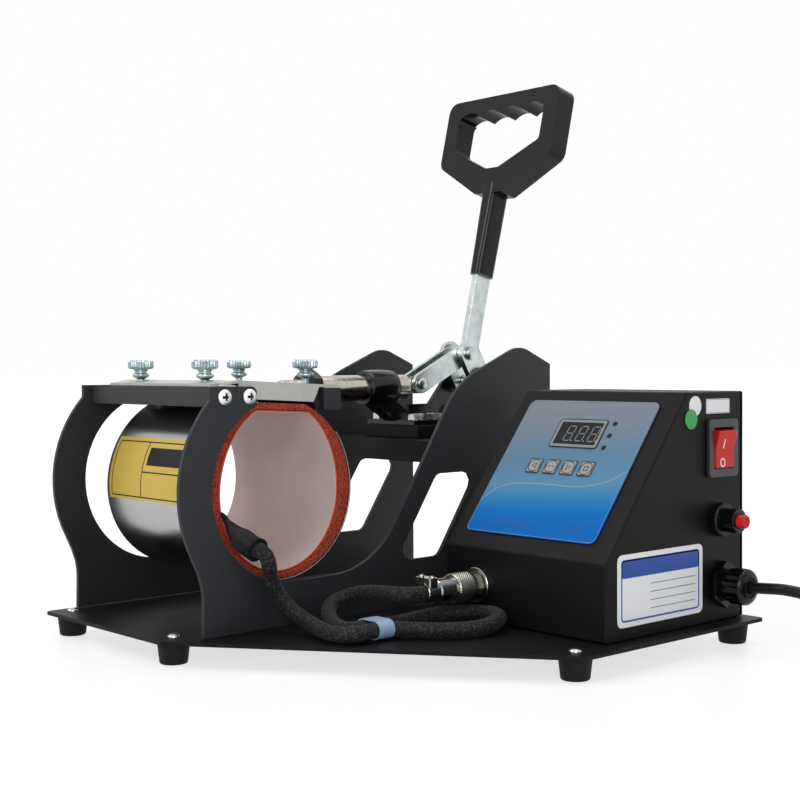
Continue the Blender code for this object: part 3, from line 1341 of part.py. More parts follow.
def make_power_side():
    """The power board inside, and the switch, the breaker and the gland on the right wall."""
    floor = GAP + tray_thickness
    low_x, low_y = power_board_corner
    size_x, size_y = power_board_size
    board_low = floor + standoff_height
    board = piece("power_board", box((low_x, low_y, board_low),
                                     (low_x + size_x, low_y + size_y, board_low + board_thickness)), green)
    top = board_low + board_thickness - GAP
    posts = [((x, y, floor + GAP), (x, y, board_low + GAP), standoff_radius)
             for x in (low_x + standoff_inset, low_x + size_x - standoff_inset)
             for y in (low_y + standoff_inset, low_y + size_y - standoff_inset)]
    tool(board, rods(posts, 10), "UNION")
    tx, ty, tz = transformer_size
    rx, ry, rz = relay_size
    inset = standoff_inset * 2.0
    parts = (((low_x + inset, low_y + inset, top), (low_x + inset + tx, low_y + inset + ty, top + tz)),
             ((low_x + size_x - inset - rx, low_y + size_y - inset - ry, top),
              (low_x + size_x - inset, low_y + size_y - inset, top + rz)))
    tool(board, boxes(parts), "UNION")

    face = box_right + GAP
    half_y, half_z = bezel_width * HALF, bezel_height * HALF
    body_y, body_z = switch_body_width * HALF, switch_body_height * HALF
    rim = rectangle(switch_y - half_y, switch_y + half_y, switch_z - half_z, switch_z + half_z, bezel_flange)
    bezel = piece("rocker_bezel", outline("YZ", face, face + bezel_flange, rim), plastic)
    tool(bezel, box((face - switch_body_depth, switch_y - body_y, switch_z - body_z),
                    (face + bezel_flange * HALF, switch_y + body_y, switch_z + body_z)), "UNION")
    room_y, room_z = body_y - switch_wall, body_z - switch_wall
    tool(bezel, box((face - rocker_room, switch_y - room_y, switch_z - room_z),
                    (face + bezel_flange + OVERRUN, switch_y + room_y, switch_z + room_z)))
    axis = (face + bezel_flange - rocker_depth, switch_y, switch_z)
    rocker_body = joint_empty("switch_rocker_axis", axis)
    reach_z = room_z - rocker_clearance
    raised = face + bezel_flange + rocker_proud * HALF
    low_x = face + bezel_flange - rocker_depth - GAP
    shape = [(low_x, switch_z - reach_z), (low_x, switch_z + reach_z),
             (raised, switch_z + reach_z), (raised - rocker_dish, switch_z), (raised, switch_z - reach_z)]
    rocker = outline("XZ", switch_y - room_y + GAP, switch_y + room_y - GAP, shape)
    turn = Matrix.Translation(axis) @ Matrix.Rotation(rocker_tilt, 4, "Y") @ Matrix.Translation(-Vector(axis))
    rocker.transform(turn)
    bevel(piece("switch_rocker", rocker, red, rocker_body), GAP * 2, 1)

    tail = face - box_wall * 2.0
    neck_end = face + breaker_nut_length + breaker_neck_length
    breaker = piece("breaker_body", rod((tail, breaker_y, breaker_z), (neck_end, breaker_y, breaker_z),
                                        breaker_neck_radius, sides=24), plastic)
    block = breaker_body_size * HALF
    tool(breaker, box((tail - breaker_body_length, breaker_y - block, breaker_z - block),
                      (tail + GAP, breaker_y + block, breaker_z + block)), "UNION")
    bore = rod((tail - GAP - reset_depth, breaker_y, breaker_z), (neck_end + OVERRUN, breaker_y, breaker_z),
               reset_radius + GAP, sides=20)
    tool(breaker, bore)
    ribs = fluted((0.0, 0.0), breaker_nut_radius, flute_depth, flute_count)
    nut = outline("YZ", 0.0, breaker_nut_length, ribs, [circle(0.0, 0.0, breaker_neck_radius + GAP, 24)])
    piece("breaker_nut", nut, plastic, None, (face, breaker_y, breaker_z))
    tip = box_right + reset_reach
    reset_axis = joint_empty("reset_button_axis", (tip, breaker_y, breaker_z))
    button = rod((tail - reset_depth + reset_travel, breaker_y, breaker_z), (tip, breaker_y, breaker_z),
                 reset_radius, sides=20)
    bevel(piece("reset_button", button, red, reset_axis), GAP * 3, 2)

    centre = (gland_y, gland_z)
    bore = cord_radius + GAP
    start = gland_flange + gland_neck
    end = start + gland_dome_length
    shoulder = end - gland_dome_round
    tail = -box_wall - gland_tail
    chamfer = gland_dome_radius - gland_dome_round * HALF * HALF
    profile = ((0.0, end), (bore + gland_lip, end), (chamfer, shoulder + gland_dome_round * HALF),
               (gland_dome_radius, shoulder), (gland_dome_radius, start), (gland_neck_radius, start),
               (gland_neck_radius, tail), (0.0, tail))
    gland = turned("cable_gland", profile, plastic, (face, *centre), (0.0, RIGHT_ANGLE, 0.0), steps=24)
    tool(gland, outline("YZ", face, face + gland_flange, hexagon(centre, gland_flat_radius)), "UNION")
    tool(gland, rod((face + tail - OVERRUN, *centre), (face + end + OVERRUN, *centre), bore, sides=20))


def make_socket():
    """The round socket in the box's front wall, the plug on the lead and the plug's threaded ring."""
    centre = (socket_x, socket_z)
    wall = box_front - GAP
    flange = wall - socket_flange
    socket = piece("connector_socket", rod((socket_x, flange, socket_z), (socket_x, wall, socket_z),
                                           socket_flange_radius, sides=24), nickel)
    tool(socket, rod((socket_x, flange - socket_barrel_length, socket_z), (socket_x, flange + GAP, socket_z),
                     socket_barrel_radius, sides=24), "UNION")
    tool(socket, rod((socket_x, wall - GAP, socket_z),
                     (socket_x, box_front + box_wall + socket_tail_length, socket_z),
                     socket_tail_radius, sides=16), "UNION")
    tool(socket, rod((socket_x, flange - socket_barrel_length - OVERRUN, socket_z),
                     (socket_x, plug_nose_front + GAP * 2, socket_z), socket_bore_radius, sides=20))
    stations = ((plug_rear, plug_clamp_radius), (plug_body_rear, plug_body_radius),
                (plug_collar_rear, plug_collar_radius), (plug_collar_front, plug_body_radius),
                (plug_nose_rear, plug_nose_radius), (plug_nose_front, 0.0))
    profile = [(0.0, plug_nose_front - plug_rear)]
    for (y0, radius), (y1, _) in zip(stations, stations[1:]):
        profile += [(radius, plug_nose_front - y0), (radius, plug_nose_front - y1)]
    profile.append((0.0, 0.0))
    plug = turned("connector_plug", profile, nickel, (socket_x, plug_nose_front, socket_z),
                  (RIGHT_ANGLE, 0.0, 0.0), steps=20)
    top = socket_z + plug_clamp_radius + plug_saddle_height
    saddle = box((socket_x - plug_clamp_radius, plug_rear + GAP * 2, socket_z + plug_clamp_radius * HALF),
                 (socket_x + plug_clamp_radius, plug_rear + plug_saddle_length, top))
    tool(plug, saddle, "UNION")
    middle = plug_rear + GAP + plug_saddle_length * HALF
    screws = [((x, middle, top - GAP), (x, middle, top + plug_screw_radius), plug_screw_radius)
              for x in (socket_x - plug_screw_reach, socket_x + plug_screw_reach)]
    tool(plug, rods(screws, 8), "UNION")
    deep = (socket_x, plug_rear + plug_lead_depth, socket_z)
    tool(plug, rod((socket_x, plug_rear - OVERRUN, socket_z), deep, lead_radius + GAP, sides=20))
    ring_axis = joint_empty("connector_ring_axis", (socket_x, plug_ring_rear, socket_z))
    grip_end = plug_ring_rear + plug_ring_grip
    ribs = fluted(centre, plug_ring_radius, flute_depth, flute_count)
    ring = piece("connector_ring", outline("XZ", plug_ring_rear, grip_end, ribs), nickel, ring_axis)
    tool(ring, rod((socket_x, grip_end - GAP, socket_z), (socket_x, plug_ring_front, socket_z),
                   plug_ring_radius - flute_depth, sides=20), "UNION")
    lip = plug_ring_rear + plug_ring_lip
    tool(ring, rod((socket_x, lip, socket_z), (socket_x, plug_ring_front + OVERRUN, socket_z),
                   socket_barrel_radius + GAP, sides=20))
    tool(ring, rod((socket_x, plug_ring_rear - OVERRUN, socket_z), (socket_x, lip + GAP, socket_z),
                   plug_body_radius + GAP, sides=20))


# Cords
def make_lead():
    route = [Vector(place) * MM for place in lead_route]
    points, length = smooth_route(route, lead_point_spacing)
    piece("heater_lead", tube(points, lead_radius, 2), braid)
    print("heater lead %.0f mm long, %d points" % (length / MM, len(points)))
    y = lead_tie_y
    left = lead_tie_left - lead_radius - tie_slack
    right = lead_tie_right + lead_radius + tie_slack
    low = GAP
    high = low + tie_wall * 2.0 + lead_radius * 2.0 + tie_slack * 2.0
    wall = tie_wall
    ring = outline("XZ", y - tie_width * HALF, y + tie_width * HALF,
                   rectangle(left - wall, right + wall, low, high, lead_radius * HALF + wall, 5),
                   [rectangle(left, right, low + wall, high - wall, lead_radius * HALF, 5)])
    piece("lead_tie", ring, pale_blue)


def coil_points():
    """The coil: a spiral in on the floor, a climbing half turn, and a spiral out above it."""
    low = -base_top + floor_clearance + tie_wall + GAP + cord_radius
    step = 2.0 * math.pi / coil_steps
    half = coil_steps // 2
    count = half * coil_half_turns
    inner = coil_radius - coil_pitch * coil_half_turns * HALF
    points = []
    for k in range(count * 2 + half + 1):
        angle = coil_start_angle - step * k
        if k < count:
            radius, z = coil_radius - coil_pitch * k / coil_steps, low
        elif k <= count + half:
            share = (k - count) / half
            radius = inner - coil_climb_inset * math.sin(math.pi * share)
            z = low + coil_pitch * share * share * (3.0 - 2.0 * share)
        else:
            radius, z = inner + coil_pitch * (k - count - half) / coil_steps, low + coil_pitch
        points.append(Vector((coil_x + radius * math.cos(angle), coil_y + radius * math.sin(angle), z)))
    first, last = coil_start_angle, coil_start_angle - step * (count * 2 + half)
    reach = cord_radius * 2.0
    points.insert(0, points[0] - Vector((math.sin(first), -math.cos(first), 0.0)) * reach)
    points.append(points[-1] + Vector((math.sin(last), -math.cos(last), 0.0)) * reach)
    return points


def least_gap(points, radius):
    """The least open distance between loops that are not neighbours along the cord."""
    places = np.array(points)
    ends, starts = places[1:], places[:-1]
    share = np.linspace(0.0, 1.0, 5)[:-1, None, None]
    fine = (starts + (ends - starts) * share).transpose(1, 0, 2).reshape(-1, 3)
    apart = np.linalg.norm(fine[:, None, :] - fine[None, :, :], axis=2)
    skip = coil_steps * 2
    rows = np.arange(len(fine))
    apart[np.abs(rows[:, None] - rows[None, :]) < skip] = 1.0
    return apart.min() - radius * 2.0


def make_power_cord():
    coil = coil_points()
    piece("power_cord_coil", tube(coil, cord_radius, 1), rubber)
    print("coil's least gap to itself %.2f mm" % (least_gap(coil, cord_radius) / MM))
    heading = (coil[1] - coil[0]).normalized()
    route = [Vector(place) * MM for place in cord_route]
    last = coil[0] - heading * GAP
    route += [last - heading * cord_run_in, last - heading * cord_radius, last]
    points, length = smooth_route(route, cord_point_spacing)
    piece("power_cord", tube(points, cord_radius, 3), rubber)
    coil_run = sum((b - a).length for a, b in zip(coil, coil[1:]))
    print("power cord %.0f mm long" % ((length + coil_run) / MM))

    low = coil[1].z - cord_radius - GAP - tie_wall
    high = low + (tie_wall + GAP + cord_radius) * 2.0 + coil_pitch
    outer = coil_radius + cord_radius + coil_tie_margin
    inner = coil_radius - coil_pitch * coil_half_turns * HALF - cord_radius - coil_tie_margin
    half = tie_width * HALF
    wall = tie_wall
    rim = rectangle(inner - wall, outer + wall, low, high, wall + tie_inner_radius)
    inside = rectangle(inner, outer, low + wall, high - wall, tie_inner_radius)
    band = outline("XZ", -half, half, rim, [inside])
    piece("coil_tie", band, rubber, None, (coil_x, coil_y, 0.0), (0.0, 0.0, coil_tie_angle))
    make_mains_plug(coil)


def make_mains_plug(coil):
    """The mains plug on the coil's outer end, with its tapered strain relief and two blades."""
    end = coil[-1]
    heading = (coil[-1] - coil[-2]).normalized()
    angle = math.atan2(heading.y, heading.x)
    turn = (0.0, 0.0, angle)
    half_z = end.z + base_top - floor_clearance
    lap = cord_radius
    bore = cord_radius + GAP
    start = -lap
    relief = rod((start, 0.0, 0.0), (start + relief_length, 0.0, 0.0), relief_tip_radius, relief_radius, 20)
    low = start + relief_length - GAP
    high = low + plug_length
    wide, waist, middle = plug_width * HALF, relief_radius + plug_round, low + plug_length * HALF
    body = outline("XY", -half_z, half_z, rounded((
        (low, -waist, plug_round), (middle, -wide, plug_round), (high, -wide, GAP * 4),
        (high, wide, GAP * 4), (middle, wide, plug_round), (low, waist, plug_round))))
    plug = piece("mains_plug", body, rubber, None, end, turn)
    tool(plug, relief, "UNION", turned=True)
    tool(plug, rod((start - OVERRUN, 0.0, 0.0), (lap * HALF, 0.0, 0.0), bore, sides=16), turned=True)
    prong_y = prong_spacing * HALF
    for side in (1.0, -1.0):
        tool(plug, box((high - GAP, side * prong_y - prong_thickness * HALF, -prong_width * HALF),
                       (high + prong_length, side * prong_y + prong_thickness * HALF, prong_width * HALF)),
             "UNION", turned=True)


def centre_on_footprint():
    """Set the datum so that the part's footprint is centred on the origin and its feet stand on it."""
    bpy.context.view_layer.update()
    graph = bpy.context.evaluated_depsgraph_get()
    cords = ("heater_lead", "power_cord", "power_cord_coil", "coil_tie", "mains_plug")
    low, high = Vector((1.0, 1.0, 1.0)), Vector((-1.0, -1.0, -1.0))
    for thing in press.objects:
        if thing.type != "MESH" or thing.name in cords:
            continue
        shape = thing.evaluated_get(graph)
        for vertex in shape.data.vertices:
            place = shape.matrix_world @ vertex.co
            low = Vector(map(min, low, place))
            high = Vector(map(max, high, place))
    datum.location = datum.location - Vector(((low.x + high.x) * HALF, (low.y + high.y) * HALF, low.z))
    bpy.context.view_layer.update()
    print("size %.1f x %.1f x %.1f mm" % tuple((high - low) / MM))


lever_closing, stroke_length, link_turning = linkage()
lever_axis = joint_empty("lever_axis", (middle_x, *pivot_o))
link_axis = joint_empty("link_axis", (middle_x, *pivot_b))
plunger_axis = joint_empty("plunger_axis", (middle_x, shaft_tail, shaft_z))
nut_axis = joint_empty("adjusting_nut_axis", (middle_x, nut_front, shaft_z))
print("lever %.2f deg, stroke %.3f mm, link %.2f deg" % (lever_closing / DEG, stroke_length / MM,
                                                         link_turning / DEG))
make_base()
make_side_plates()
make_front_bar()
make_mount()
make_toggle_body()
make_lever(lever_axis)
make_grip(lever_axis)
make_link(link_axis)
make_plunger(plunger_axis)
make_adjusting_nut(nut_axis)
make_rear_bar(plunger_axis)
make_saddle(plunger_axis, stroke_length)
make_thumb_screws(plunger_axis)
make_heater()
make_box()
make_front_panel()
make_power_side()
make_socket()
make_lead()
make_power_cord()
centre_on_footprint()
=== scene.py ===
"""Looks for a cylindrical heat press: coats, castings, heater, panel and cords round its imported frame.

Sizes and places are written in millimetres, in the press's own frame: X to the right along the heater,
Y to the back, Z up, from the right side plate's outer face, 18.5 mm behind the base plate's front edge,
on its top. They become Blender's metres where points are made.
"""
import math

import bmesh
import bpy
import numpy as np
from bpy.props import FloatProperty, FloatVectorProperty, IntProperty, PointerProperty
from mathutils import Matrix, Vector
from mathutils.bvhtree import BVHTree


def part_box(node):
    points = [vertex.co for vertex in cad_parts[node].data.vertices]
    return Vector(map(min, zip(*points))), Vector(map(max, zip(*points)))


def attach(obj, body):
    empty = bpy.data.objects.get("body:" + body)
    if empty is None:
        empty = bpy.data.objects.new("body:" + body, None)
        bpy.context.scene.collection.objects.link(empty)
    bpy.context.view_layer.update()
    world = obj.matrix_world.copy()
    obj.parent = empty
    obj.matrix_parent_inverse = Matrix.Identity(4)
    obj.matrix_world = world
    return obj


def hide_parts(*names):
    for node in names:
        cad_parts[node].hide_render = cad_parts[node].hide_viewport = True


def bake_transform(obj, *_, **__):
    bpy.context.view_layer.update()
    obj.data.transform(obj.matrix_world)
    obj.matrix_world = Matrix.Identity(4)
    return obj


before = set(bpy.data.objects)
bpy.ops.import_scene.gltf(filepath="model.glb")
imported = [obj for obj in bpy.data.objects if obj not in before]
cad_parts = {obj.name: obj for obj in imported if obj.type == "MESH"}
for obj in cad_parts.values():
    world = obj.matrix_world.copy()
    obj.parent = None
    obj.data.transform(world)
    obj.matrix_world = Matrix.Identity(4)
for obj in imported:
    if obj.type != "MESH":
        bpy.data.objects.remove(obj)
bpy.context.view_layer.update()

bl_info = {
    "name": "Cylindrical Heat Press",
    "version": (1, 0, 0),
    "blender": (4, 5, 0),
    "location": "3D View > Sidebar > Heat Press",
    "description": "Dresses a packed heat press with its finishes, cords, labels and stage",
    "category": "Object",
}

MM = 0.001
DEG = math.pi / 180.0
TURN = 2.0 * math.pi
MERGE = 0.002 * MM

BASE_OVERHANG = 18.5 * MM
DATUM = np.array((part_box("right_side_plate")[1].x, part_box("base_plate")[0].y + BASE_OVERHANG,
                  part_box("base_plate")[1].z))
# The plunger's own line: a point on it and its direction
SHAFT = ((-65.0, 0.0, 124.4), (0, 1, 0))
# The control box: its slope's angle, the slope's foot in Y and Z, and the right wall in X
SLOPE_ANGLE = 51.7 * DEG
BOX_FRONT, BOX_KNEE, BOX_RIGHT = 135.8, 39.8, 148.3
# The heated band: its middle line in Y and Z, its lean, and its two ends in X
HEATER_Y, HEATER_Z, HEATER_TILT = 55.7, 71.2, 2.9 * DEG
HEATER_NEAR, HEATER_FAR = -9.0, -105.0
# The band's section at its bore and at its skin: half width, depth, height, and the height of its flat top
HEATER_BORE = (38.6, 42.0, 47.0, 42.0)
HEATER_SKIN = (49.3, 48.2, 50.5, 48.2)
# The linkage's pins in Y and Z: the lever's, which carries the link, and the link's in the plunger's tongue
LEVER_PIN, LINK_PIN = (245.4, 145.7), (206.2, 126.6)

# The camera of the photograph: focal length in pixels of an 800 pixel frame, angles and place
CAMERA_FOCAL_PX, PICTURE_PX, SENSOR_WIDTH_MM = 1384.35, 800.0, 36.0
CAMERA_YAW, CAMERA_PITCH, CAMERA_ROLL = 47.85 * DEG, 1.478 * DEG, -0.27 * DEG
CAMERA_PLACE = (583.08, -393.46, 138.85)

# The heater lead's route from its boot, round the tie and a loop, to the connector
LEAD_ROUTE = (
    (2.6, 26.7, 44.7), (7.6, 26.8, 44.1), (12.4, 26.9, 43.5), (15.0, 28.6, 40.6), (13.8, 31.0, 35.2),
    (10.8, 33.6, 30.2), (9.6, 37.2, 24.0), (10.6, 40.8, 18.0), (14.2, 43.9, 12.6), (21.0, 46.0, 8.4),
    (31.0, 46.2, 5.8), (44.0, 43.4, 4.6), (55.0, 43.2, 4.8), (61.8, 49.0, 5.4), (62.4, 57.0, 5.6),
    (62.4, 65.5, 5.6), (63.6, 72.0, 5.2), (71.0, 79.5, 4.6), (81.0, 88.0, 4.5), (88.4, 100.0, 4.6),
    (91.0, 112.0, 5.4), (88.4, 122.5, 6.8), (80.5, 128.6, 7.4), (71.5, 128.6, 7.2), (63.2, 124.4, 6.9),
    (56.6, 117.0, 6.5), (52.8, 108.0, 5.9), (51.4, 98.0, 5.2), (52.0, 86.0, 4.8), (53.0, 76.0, 5.2),
    (53.3, 68.5, 5.6), (53.4, 59.0, 5.6), (50.4, 53.6, 5.2), (43.0, 53.2, 5.2), (33.0, 56.6, 6.4),
    (22.0, 63.0, 9.0), (15.8, 71.0, 12.0), (17.2, 79.5, 15.0), (26.0, 84.4, 17.4), (37.5, 84.6, 18.8),
    (48.0, 83.8, 19.6), (56.2, 85.6, 20.0), (60.0, 91.0, 20.0), (60.0, 96.0, 20.0), (60.0, 100.7, 20.0),
)
BOOT_ROUTE = ((-7.4, 16.6, 62.6), (-7.0, 19.0, 58.6), (-5.4, 22.0, 53.6), (-1.8, 24.9, 48.9),
              (3.6, 26.4, 45.6), (9.5, 26.8, 43.9))

# The power cord's free stretch from the gland down to the coil, and the coil it is stored in
CORD_ROUTE = (
    (157.0, 232.0, 20.0), (166.0, 232.0, 20.0), (176.0, 232.2, 20.6), (187.0, 233.4, 21.0),
    (197.5, 237.6, 19.0), (206.0, 245.0, 13.2), (212.0, 254.0, 4.8), (215.6, 262.0, -3.0),
    (217.6, 269.5, -8.0),
)
COIL_X, COIL_Y, COIL_LOW_Z = 252.0, 268.0, -9.45
COIL_RADIUS, COIL_PITCH, COIL_HALF_TURNS, COIL_CLIMB_INSET = 33.0, 6.6, 6, 1.6
COIL_START_ANGLE = 153.0 * DEG


# Shapes: each is a grid of points worked out as whole arrays

def box(node):
    """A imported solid's two corners in the press's own frame."""
    return [(np.array(corner) - DATUM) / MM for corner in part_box(node)]


def merged(bm):
    """Doubled points become one."""
    bmesh.ops.remove_doubles(bm, verts=bm.verts, dist=MERGE)


def outward(bm):
    """Faces turn outwards."""
    bmesh.ops.recalc_face_normals(bm, faces=bm.faces)


def flattened(bm):
    """Triangles that lie in one plane join into one face."""
    bmesh.ops.dissolve_limit(bm, angle_limit=0.3 * DEG, verts=bm.verts, edges=bm.edges)


def linked(mesh, *works):
    """A piece of its mesh's name, once the given works are done on the mesh."""
    bm = bmesh.new()
    bm.from_mesh(mesh)
    for work in works:
        work(bm)
    bm.to_mesh(mesh)
    bm.free()
    made = bpy.data.objects.new(mesh.name, mesh)
    bpy.context.scene.collection.objects.link(made)
    return made


def surface(name, points, wrap=(True, True), uv=None, sharp=38.0):
    """A grid of points as one skin: (i, j) joins (i+1, j), (i+1, j+1) and (i, j+1); a wrapped way closes."""
    rows, columns = points.shape[:2]
    index = np.arange(rows * columns).reshape(rows, columns)
    here, ahead = (index, np.roll(index, -1, 0)) if wrap[0] else (index[:-1], index[1:])
    corners = (here, np.roll(here, -1, 1), np.roll(ahead, -1, 1), ahead)
    if not wrap[1]:
        corners = [corner[:, :-1] for corner in corners]
    mesh = bpy.data.meshes.new(name)
    mesh.from_pydata(points.reshape(-1, 3).tolist(), [], np.stack(corners, axis=-1).reshape(-1, 4).tolist())
    if uv is not None:
        both = np.stack(np.meshgrid(uv[0], uv[1], indexing="ij"), axis=-1) * MM
        loops = np.stack((both[:-1, :-1], both[:-1, 1:], both[1:, 1:], both[1:, :-1]), axis=2)
        mesh.uv_layers.new(name="Surface").data.foreach_set("uv", loops.reshape(-1))
    made = linked(mesh, merged, outward)
    mesh.shade_smooth()
    mesh.set_sharp_from_angle(angle=sharp * DEG)
    return made


def eased(corners, radius, steps=4, closed=False):
    """A line whose corners are rounded: each becomes the parabola that leaves its sides one radius away."""
    p = np.array(corners, float)
    reach = np.broadcast_to(np.array(radius, float), len(p))[:, None]

    def toward(other):
        run = other - p
        length = np.maximum(np.linalg.norm(run, axis=1, keepdims=True), 1e-9)
        return p + run / length * np.minimum(reach, length * 0.49)

    t = np.linspace(0.0, 1.0, steps + 1)[:, None, None]
    start, end = toward(np.roll(p, 1, 0)), toward(np.roll(p, -1, 0))
    bends = ((1 - t) ** 2 * start + 2 * t * (1 - t) * p + t ** 2 * end).transpose(1, 0, 2)
    if closed:
        return bends.reshape(-1, p.shape[1])
    return np.concatenate((p[:1], bends[1:-1].reshape(-1, p.shape[1]), p[-1:]))


def axes(direction):
    """The unit direction, and two more square to it and to each other."""
    d = np.array(direction, float) / np.linalg.norm(direction)
    first = np.cross((0.0, 0.0, 1.0) if abs(d[2]) < 0.9 else (1.0, 0.0, 0.0), d)
    first /= np.linalg.norm(first)
    return d, first, np.cross(d, first)


def turned(name, profile, place, axis=(0, 0, 1), steps=96, shape=None, ring=False, sharp=38.0):
    """A profile of (radius, height) carried round an axis: place + height * axis + radius * spoke of t."""
    t = np.linspace(0.0, TURN, steps, endpoint=False)
    d, first, second = axes(axis)
    wide, tall = (np.repeat(line[:, None], steps, 1) for line in np.array(profile, float).T)
    if shape:
        wide, tall = shape(wide, tall, t[None, :])
    spoke = np.cos(t)[:, None] * first + np.sin(t)[:, None] * second
    points = np.array(place, float) + tall[..., None] * d + wide[..., None] * spoke
    return surface(name, DATUM + points * MM, (ring, True), sharp=sharp)


def knurled(count, depth, pitch, low, high):
    """Crossing grooves round a turned piece: radius less depth * |sin(a) sin(b)|, a and b winding apart."""
    def cut(wide, tall, t):
        turn, rise = t * count * 0.5, tall / pitch * math.pi
        groove = 1.0 - np.abs(np.sin(turn + rise) * np.sin(turn - rise))
        return wide - depth * groove * ((tall > low) & (tall < high) & (wide > wide.max() * 0.9)), tall
    return cut


def fluted(count, depth, low, high):
    """Grooves round a turned piece: radius less depth * |cos| of count/2 turns, between two heights."""
    def cut(wide, tall, t):
        groove = np.abs(np.cos(t * count * 0.5)) ** 3
        return wide - depth * groove * ((tall > low) & (tall < high) & (wide > wide.max() * 0.8)), tall
    return cut


def hexagonal(flat):
    """Six flats: the radius is flat / cos of the angle from the nearest flat, cut by a cone at both ends."""
    def cut(wide, tall, t):
        corner = flat / np.cos((t + TURN / 12) % (TURN / 6) - TURN / 12)
        outer = wide >= flat * 0.999
        lost = (corner - flat) * math.tan(30.0 * DEG) * np.sign(tall - (tall.max() + tall.min()) * 0.5)
        return np.where(outer, corner, wide), tall - np.where(outer, lost, 0.0)
    return cut


def cross_recess(size, depth, top):
    """A cross slot sunk in a screw's head: the height drops where |x| or |y| is under a sixth of the head."""
    def cut(wide, tall, t):
        beside = np.minimum(np.abs(wide * np.cos(t)), np.abs(wide * np.sin(t)))
        sunk = (beside < size * 0.16) & (wide < size * 0.62) & (tall > top * 0.4)
        return wide, np.where(sunk, tall - depth * (1.0 - wide / (size * 0.8)), tall)
    return cut


def domed(radius, height, fall, power, rings):
    """A domed head's profile: height falls by a share, with a power of the radius, to a sharp rim."""
    dome = [(radius * s, height * (1.0 - fall * s ** power)) for s in np.linspace(0.0, 1.0, rings)]
    return dome + [(radius, 0.0), (0.0, 0.0)]


def swept(name, path, radius, sides, weave=None, squash=1.0):
    """A tube: path + radius * (cos t * side + sin t * squash * up), its ends closed by points on the path."""
    path = np.array(path, float)
    along = np.gradient(path, axis=0)
    along /= np.linalg.norm(along, axis=1, keepdims=True)
    side = np.cross(along, np.array((0.0, 0.0, 1.0)))
    side /= np.maximum(np.linalg.norm(side, axis=1, keepdims=True), 1e-6)
    up = np.cross(side, along) * np.broadcast_to(np.array(squash, float), len(path))[:, None]
    length = np.concatenate(([0.0], np.cumsum(np.linalg.norm(np.diff(path, axis=0), axis=1))))
    t = np.linspace(0.0, TURN, sides, endpoint=False)
    reach = np.broadcast_to(np.array(radius, float), len(path))[:, None] * np.ones(sides)
    if weave:
        reach = reach + weave(length[:, None], t[None, :])
    spoke = np.cos(t)[None, :, None] * side[:, None] + np.sin(t)[None, :, None] * up[:, None]
    points = path[:, None] + reach[..., None] * spoke
    first, last = (np.repeat(end[:, None], sides, 1) for end in (path[:1], path[-1:]))
    points = np.concatenate((first, points, last))
    length = np.concatenate((length[:1], length, length[-1:]))
    return surface(name, DATUM + points * MM, (False, True), (length, np.linspace(0.0, 1.0 / MM, sides + 1)))


def route_curve(route, spacing):
    """Even points on the smooth curve through a route: each stretch is a Catmull-Rom cubic of four points."""
    knots = np.array(route)
    padded = np.vstack((2 * knots[0] - knots[1], knots, 2 * knots[-1] - knots[-2]))
    a, b, c, d = (padded[k:len(padded) - 3 + k, None] for k in range(4))
    s = np.linspace(0.0, 1.0, 24, endpoint=False)[None, :, None]
    dense = 0.5 * (2 * b + (c - a) * s + (2 * a - 5 * b + 4 * c - d) * s ** 2
                   + (3 * b - a - 3 * c + d) * s ** 3)
    dense = np.vstack((dense.reshape(-1, 3), knots[-1:]))
    length = np.concatenate(([0.0], np.cumsum(np.linalg.norm(np.diff(dense, axis=0), axis=1))))
    even = np.linspace(0.0, length[-1], max(int(round(length[-1] / spacing)), 2) + 1)
    return np.stack([np.interp(even, length, dense[:, k]) for k in range(3)], axis=1), float(length[-1])


def prisms(name, outlines, low, high, place):
    """Flat shapes of one small thickness: each outline's points at both heights, a face on each and sides."""
    points, faces, start = [], [], 0
    for outline in outlines:
        across, up = np.array(outline, float).T
        points += [place(across, up, height) for height in (low, high)]
        count = len(across)
        bottom = list(range(start, start + count))
        start += 2 * count
        faces += [bottom[::-1], [k + count for k in bottom]]
        faces += [[a, b, b + count, a + count] for a, b in zip(bottom, bottom[1:] + bottom[:1])]
    mesh = bpy.data.meshes.new(name)
    mesh.from_pydata(np.concatenate(points).tolist(), [], faces)
    return linked(mesh, outward)


def rounded(centre, half, radius):
    """A rounded rectangle round a centre, as an outline."""
    return eased(np.array(((-1, -1), (1, -1), (1, 1), (-1, 1))) * half + centre, radius, 5, True)


def frame_ring(name, centre, half, border, radius, low, high, place):
    """A flat rectangular frame: a rounded outline and the same one drawn in, joined by a closed section."""
    outer = rounded(centre, half, radius)
    inner = rounded(centre, np.array(half) - border, max(radius - border, 0.05))
    rows = [place(*line.T, height)
            for line, height in ((outer, low), (outer, high), (inner, high), (inner, low))]
    return surface(name, np.array(rows), sharp=30.0)


def stroke(line, width):
    """The outline of a drawn line: the line moved by half its width to either side."""
    line = np.array(line, float)
    run = np.gradient(line, axis=0)
    side = np.stack((-run[:, 1], run[:, 0]), axis=1) / np.linalg.norm(run, axis=1, keepdims=True)
    side *= width * 0.5
    return np.concatenate((line + side, (line - side)[::-1]))


def upright(x, y, z):
    """Places in the press's own frame, from numbers or whole arrays of them."""
    return DATUM + np.stack(np.broadcast_arrays(x, y, z), axis=-1) * MM


def on_slope(x, s, n):
    """Places on the control box's slope: x across, s up the slope and n out of it."""
    c, k = math.cos(SLOPE_ANGLE), math.sin(SLOPE_ANGLE)
    return upright(x, BOX_FRONT + s * c - n * k, BOX_KNEE + s * k + n * c)


def on_side(y, z, n):
    """Places on the control box's right wall: y to the back, z up and n out of it."""
    return upright(BOX_RIGHT + n, y, z)


